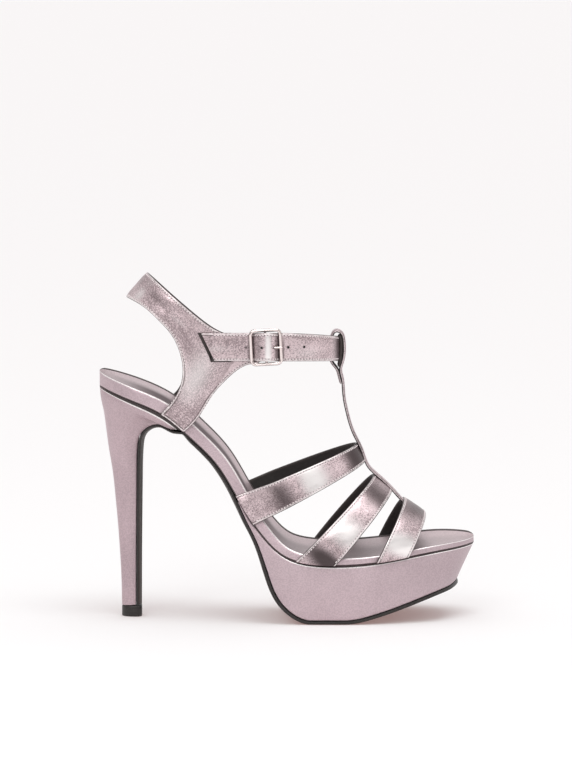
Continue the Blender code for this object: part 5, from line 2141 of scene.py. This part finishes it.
@dataclass
class AnkleStrap:
    """The ankle strap with its punched holes."""

    ring: AnkleRing
    maker: Maker
    finishes: Finishes
    tail_end: float = 0.275
    tail_slant: float = 0.0076
    lap_end: float = 0.375
    hole_radius: float = 0.0007
    holes: tuple[float, ...] = (-0.0221, -0.0134, 0.0012, 0.0100)
    prong_hole: float = -0.0057
    prong_hole_half: tuple[float, float] = (0.0015, 0.0009)
    tail_lift: float = 0.0007
    lining_lap: float = 0.0019
    lining_thick: float = 0.0005
    lining_drop: float = 0.0005
    tail_rows: int = 34
    front_power: float = 0.92
    inside_x: float = -0.01
    lining_sink: float = 0.0001
    stitch_starts: tuple[float, float] = (0.004, 0.0035)
    stitch_margin: float = 0.003
    drill: tuple[float, ...] = (-0.012, -0.004, 0.003)
    creases: tuple[Crease, ...] = (
        Crease((0.012, 0.004), (0.024, -0.005), 0.0030, 0.00022),
        Crease((0.052, -0.006), (0.055, 0.006), 0.0026, 0.00022),
        Crease((0.066, -0.006), (0.070, 0.006), 0.0030, 0.00018),
    )
    # Painted light: a painted highlight on the hump over the centre bar with painted shade on either side,
    # painted shadows of the frame's bars just inside and outside them, and a few more zones of painted shade
    # and highlight along the strap.
    painted_light_zones: tuple[PaintedLightZone, ...] = (
        PaintedLightZone(-0.0100, 0.1500, 0.0017, 0.02, 0, 1.00),
        PaintedLightZone(-0.0062, 0.1500, 0.0012, 0.02, 0, -0.60),
        PaintedLightZone(-0.0148, 0.1500, 0.0018, 0.02, 0, -0.45),
        PaintedLightZone(-0.0181, 0.1500, 0.0009, 0.02, 0, -0.90),
        PaintedLightZone(-0.0041, 0.1500, 0.0009, 0.02, 0, -0.90),
        PaintedLightZone(-0.0207, 0.1500, 0.0007, 0.011, 0, -0.70),
        PaintedLightZone(-0.0015, 0.1500, 0.0007, 0.011, 0, -0.70),
        PaintedLightZone(-0.0340, 0.1460, 0.0080, 0.0035, 0, -0.35),
        PaintedLightZone(-0.0400, 0.1535, 0.0100, 0.0025, 0, 0.30),
        PaintedLightZone(0.0110, 0.1510, 0.0090, 0.0040, 0, 0.30),
        PaintedLightZone(0.0275, 0.1500, 0.0022, 0.02, 0, -0.60),
    )

    def route(self) -> list[tuple[float, float]]:
        """The strap seen from above: outer tail, buckle, front of the ankle and lap on the inner side.

        Returns:
            x and y of the middle surface, from the tail to the lap.
        """
        ring, last = self.ring, self.ring.last
        front_x = last.x(ring.strap_front)
        wide = abs(ring.strap_line() - last.ring_y)
        route = [(x, ring.strap_y(x)) for x in spaced(last.x(self.tail_end), front_x, 90)]
        for turn in spaced(0, math.pi, 90)[1:]:
            reach = math.sin(turn) ** self.front_power
            route.append((front_x + (ring.front - front_x) * reach, last.ring_y - wide * math.cos(turn)))
        route += [(x, last.ring_y + wide) for x in spaced(front_x, last.x(self.lap_end), 24)[1:]]
        return route

    def build(self) -> None:
        """The strap, its holes and its stitches."""
        ring, last = self.ring, self.ring.last
        tail_x = last.x(self.tail_end)
        slant_run = (ring.buckle_x - ring.buckle_length / 2 - tail_x) / 4
        rows = []
        for x, y in self.route():
            slant = self.tail_slant * max(1 - (x - tail_x) / slant_run, 0) if y < last.ring_y else 0.0
            y -= self.tail_lift * float(ease(slant / self.tail_slant))
            row = []
            for share in (-1, -0.5, 0, 0.5, 1):
                z = ring.level(x) + ring.lean(y) + share * ring.half(x)
                row.append([x + slant * (1 - share) / 2, y, z])
            rows.append(row)
        strap = Strap(
            "ankle_strap_leather",
            np.array(rows),
            ring.strap_thick,
            (self.inside_x, last.ring_y, None),
            pitch=0.0007,
            creases=self.creases,
            crown=0.00012,
            painted_light_zones=self.painted_light_zones,
        )
        made = strap.build(self.maker, self.finishes)
        level = ring.level(ring.buckle_x) + ring.lean(ring.strap_line())
        for x in self.holes:
            self.punch(made, x, level, self.hole_radius, self.hole_radius)
        self.punch(made, self.prong_hole, level, *self.prong_hole_half)
        self.maker.settle(made, Slot.FOIL, "ankle_strap")
        self.tail_lining_and_shadow(np.array(rows)[: self.tail_rows])
        end = float(strap.places[-1]) - self.stitch_margin
        runs = [(edge, start, end) for edge, start in zip(Edge, self.stitch_starts)]
        self.maker.settle(strap.stitches(self.maker, self.finishes, runs), Slot.FOIL)

    def tail_lining_and_shadow(self, rows: np.ndarray) -> None:
        """The black lining that shows as a step behind the tail's slanted end and its lower edge; it sticks
        out past the leather and also stands in for the tail's shadow.

        Args:
            rows: the strap's rows behind the tail.
        """
        rows = rows.copy()
        rows[:, :, 1] += (self.ring.strap_thick + self.lining_thick) / 2 - self.lining_sink
        rows[:, 0, 2] -= self.lining_drop
        ahead = np.linspace(1, 0, len(rows))[:, None]
        rows[:, :, 0] -= self.lining_lap * ahead
        inside = (self.inside_x, self.ring.last.ring_y, None)
        strap = Strap("tail_lining_and_shadow", rows, self.lining_thick, inside, crown=0.0)
        made = strap.build(self.maker, self.finishes)
        # Near-black outside too: part lining, part painted shadow of the tail.
        made.data.materials[0] = self.finishes.edge
        self.maker.settle(made, Slot.FOIL)

    def punch(self, made: bpy.types.Object, x: float, z: float, wide: float, tall: float) -> None:
        """Punches one hole through the outer side of the strap.

        Args:
            made: the strap.
            x: the hole's place along.
            z: its height.
            wide: half its length.
            tall: half its height.
        """
        y = self.ring.strap_line()
        route = np.array([(x, y + step, z) for step in self.drill])
        cutter = self.maker.wire("punch", route, (tall, wide), (0, 0, 1), self.finishes.lining)
        self.maker.carve(made, cutter)


@dataclass
class Buckle:
    """The small frame buckle with its centre bar and prong."""

    ring: AnkleRing
    maker: Maker
    finishes: Finishes
    tilt: float = 3.0
    frame_depth: float = 0.92
    hook_start: float = 1.95
    hook_end: float = 0.5

    def build(self) -> None:
        """The frame with its bar, and the prong."""
        ring = self.ring
        half_x = (ring.buckle_length - ring.bar) / 2
        half_z = (ring.buckle_height - ring.bar) / 2
        level = ring.level(ring.buckle_x) + ring.lean(ring.bar_line())
        corner = ring.buckle_corner
        flat = []
        for sign_x, sign_z, start in ((1, 1, 0), (-1, 1, 90), (-1, -1, 180), (1, -1, 270)):
            for turn in spaced(start, start + 90, 12):
                angle = math.radians(turn)
                x = sign_x * (half_x - corner) + corner * math.cos(angle)
                flat.append((x, sign_z * (half_z - corner) + corner * math.sin(angle)))
        lean = math.radians(self.tilt)
        cos, sin = math.cos(lean), math.sin(lean)
        turned = [(x * cos - z * sin, x * sin + z * cos) for x, z in flat]
        route = np.array([(ring.buckle_x + x, ring.frame_line(), level + z) for x, z in turned])
        metal, painted_side_shade = self.finishes.metal, self.finishes.painted_side_shade
        radii = (ring.bar / 2 * self.frame_depth, ring.bar / 2)
        frame = self.maker.wire("buckle_ring", route, radii, (0, 1, 0), metal, closed=True, painted_side_shade=painted_side_shade)
        self.maker.settle(frame, Slot.METAL, "buckle_frame")
        ends = [(ring.buckle_x - z * sin, ring.bar_line(), level + z) for z in spaced(-half_z, half_z, 12)]
        radius = ring.centre_bar / 2
        bar = self.maker.wire("buckle_bar", np.array(ends), (radius, radius), (0, 1, 0), metal)
        self.maker.settle(bar, Slot.METAL, "buckle_frame")
        self.prong(level)

    def prong(self, level: float) -> None:
        """The prong: its hook round the back of the centre bar and its run to the front bar.

        Args:
            level: height of the buckle's middle.
        """
        ring = self.ring
        clear = ring.last.clearance
        bar_y = ring.bar_line()
        radius = ring.centre_bar / 2 + clear + ring.prong / 2
        front = ring.buckle_x + (ring.buckle_length - ring.bar) / 2
        rest = ring.frame_line() - ring.bar / 2 - clear - ring.prong / 2
        route = []
        for turn in spaced(-math.pi * self.hook_start, -math.pi * self.hook_end, 24):
            route.append((ring.buckle_x + radius * math.cos(turn), bar_y + radius * math.sin(turn)))
        run = 2 * ring.prong
        route += [(ring.buckle_x + run, bar_y - radius - clear / 2), (front - run, rest + clear / 3)]
        route += [(front, rest), (front + ring.prong, rest + clear / 3)]
        path = Path([np.array(place) for place in route])
        shares = np.concatenate([np.linspace(0, 0.94, 90), 1 - 0.06 * np.linspace(0.9, 0, 12)])
        points = np.array([[*path.at(share), level] for share in shares])
        tip = np.sqrt(1 - np.clip((shares - 0.95) / 0.05, 0, 0.999) ** 2)
        thick = ring.prong / 2 * np.maximum(tip, 0.06)
        made = self.maker.wire("buckle_tongue", points, (thick, thick), (0, 0, 1), self.finishes.metal)
        self.maker.settle(made, Slot.METAL, "buckle_prong")


@dataclass
class Studio:
    """White floor, soft lights and the camera at the photograph's angle."""

    target: np.ndarray
    distance: float = 2.5
    elevation: float = 5.4
    lens: float = 210.0
    floor_size: float = 60.0
    floor_colour: tuple[float, ...] = (0.66, 0.74, 0.75, 1)
    floor_glow: tuple[float, ...] = (0.262, 0.165, 0.155, 1)
    room_dark: tuple[float, ...] = (0.26, 0.25, 0.25, 1)
    room_bright: tuple[float, ...] = (0.78, 0.77, 0.77, 1)
    backdrop: tuple[float, ...] = (0.980, 0.978, 0.978, 1)

    def build(self) -> None:
        """The whole studio."""
        self.floor()
        self.world()
        self.sun("overhead", (0.15, -0.25, 1.0), 0.95, 36.0)
        self.light("front", (-0.55, -1.75, 1.35), 1.1, 0.9, 9.5)
        self.light("toe_side", (1.5, -0.6, 0.7), 0.7, 1.1, 2.0)
        self.camera()
        settings = bpy.context.scene.view_settings
        settings.view_transform = "Standard"
        settings.look = "None"

    def floor(self) -> None:
        """A plain white floor."""
        size = self.floor_size
        mesh = bpy.data.meshes.new("floor")
        corners = [(-size, -size, 0), (size, -size, 0), (size, size, 0), (-size, size, 0)]
        mesh.from_pydata(corners, [], [(0, 1, 2, 3)])
        made = bpy.data.materials.new("floor paint")
        made.use_nodes = True
        sockets = made.node_tree.nodes["Principled BSDF"].inputs
        sockets["Base Color"].default_value = self.floor_colour
        sockets["Roughness"].default_value = 0.9
        sockets["Specular IOR Level"].default_value = 0.1
        sockets["Emission Color"].default_value = self.floor_glow
        sockets["Emission Strength"].default_value = 1.0
        mesh.materials.append(made)
        floor = bpy.data.objects.new("floor", mesh)
        bpy.context.scene.collection.objects.link(floor)

    def world(self) -> None:
        """White to the eye; for the leather a room that is darker behind the camera and bright above."""
        world = bpy.data.worlds.new("studio")
        bpy.context.scene.world = world
        world.use_nodes = True
        nodes = Nodes(world.node_tree)
        tree = world.node_tree
        sky = tree.nodes["Background"]
        direction = nodes.add("SeparateXYZ", {0: nodes.add("TexCoord").outputs["Generated"]})
        up = nodes.ramp(direction.outputs["Z"], 0.18, 0.55)
        behind = nodes.ramp(direction.outputs["Y"], -0.55, 0.30)
        share = nodes.math("MAXIMUM", up, behind)
        nodes.feed(sky.inputs["Color"], nodes.mix(share, self.room_dark, self.room_bright))
        white = nodes.add("Background", {"Color": self.backdrop})
        seen = nodes.add("LightPath").outputs["Is Camera Ray"]
        mixed = nodes.add("MixShader", {0: seen, 1: sky.outputs[0], 2: white.outputs[0]})
        tree.links.new(mixed.outputs[0], tree.nodes["World Output"].inputs[0])

    def light(
        self, name: str, place: tuple[float, float, float], wide: float, tall: float, power: float
    ) -> None:
        """A soft rectangular light that looks at the sandal.

        Args:
            name: the light's name.
            place: where it hangs.
            wide: its width.
            tall: its height.
            power: its power in watts.
        """
        data = bpy.data.lights.new(name, "AREA")
        data.shape = "RECTANGLE"
        data.size, data.size_y, data.energy = wide, tall, power
        self.hang(name, data, np.array(place), np.array([0.0, 0.0, 0.08]))

    def sun(self, name: str, place: tuple[float, float, float], power: float, angle: float) -> None:
        """A soft light from far away, so that the floor is lit evenly.

        Args:
            name: the light's name.
            place: the direction that it comes from.
            power: watts on each square metre.
            angle: how wide it looks, in degrees.
        """
        data = bpy.data.lights.new(name, "SUN")
        data.energy, data.angle = power, math.radians(angle)
        self.hang(name, data, np.array(place), np.zeros(3))

    def hang(self, name: str, data: bpy.types.ID, place: np.ndarray, at: np.ndarray) -> bpy.types.Object:
        """Puts a light or the camera at a place, turned to look at a point.

        Args:
            name: the object's name.
            data: the light or the camera.
            place: where it goes.
            at: the point that it looks at.

        Returns:
            The object.
        """
        made = bpy.data.objects.new(name, data)
        bpy.context.scene.collection.objects.link(made)
        made.location = place
        direction = at - place
        pitch = math.atan2(direction[2], math.hypot(direction[0], direction[1]))
        made.rotation_euler = (math.pi / 2 + pitch, 0.0, math.atan2(-direction[0], direction[1]))
        return made

    def camera(self) -> None:
        """The camera, level with the photograph's."""
        data = bpy.data.cameras.new("camera")
        data.lens = self.lens
        data.sensor_width = 36.0
        data.clip_end = 400.0
        angle = math.radians(self.elevation)
        back = np.array([0.0, -math.cos(angle), math.sin(angle)]) * self.distance
        bpy.context.scene.camera = self.hang("camera", data, self.target + back, self.target)


def main() -> None:
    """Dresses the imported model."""
    logging.basicConfig(level=logging.INFO, format="%(name)s: %(message)s")
    for old in list(bpy.data.objects):
        bpy.data.objects.remove(old)
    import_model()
    last = Last()
    ring = AnkleRing(last)
    shift = ring.shift()
    maker = Maker(shift)
    finishes = Finishes()
    Studio(np.array([0.0, 0.0, AIM_HEIGHT]) + shift).build()
    Sole(last, maker, finishes).build()
    Insole(last, maker, finishes).build()
    VampStraps(last, maker, finishes).build()
    TStrap(ring, maker, finishes).build()
    Quarter(ring, maker, finishes).build()
    AnkleStrap(ring, maker, finishes).build()
    Buckle(ring, maker, finishes).build()
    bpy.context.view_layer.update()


if __name__ == "__main__":
    main()
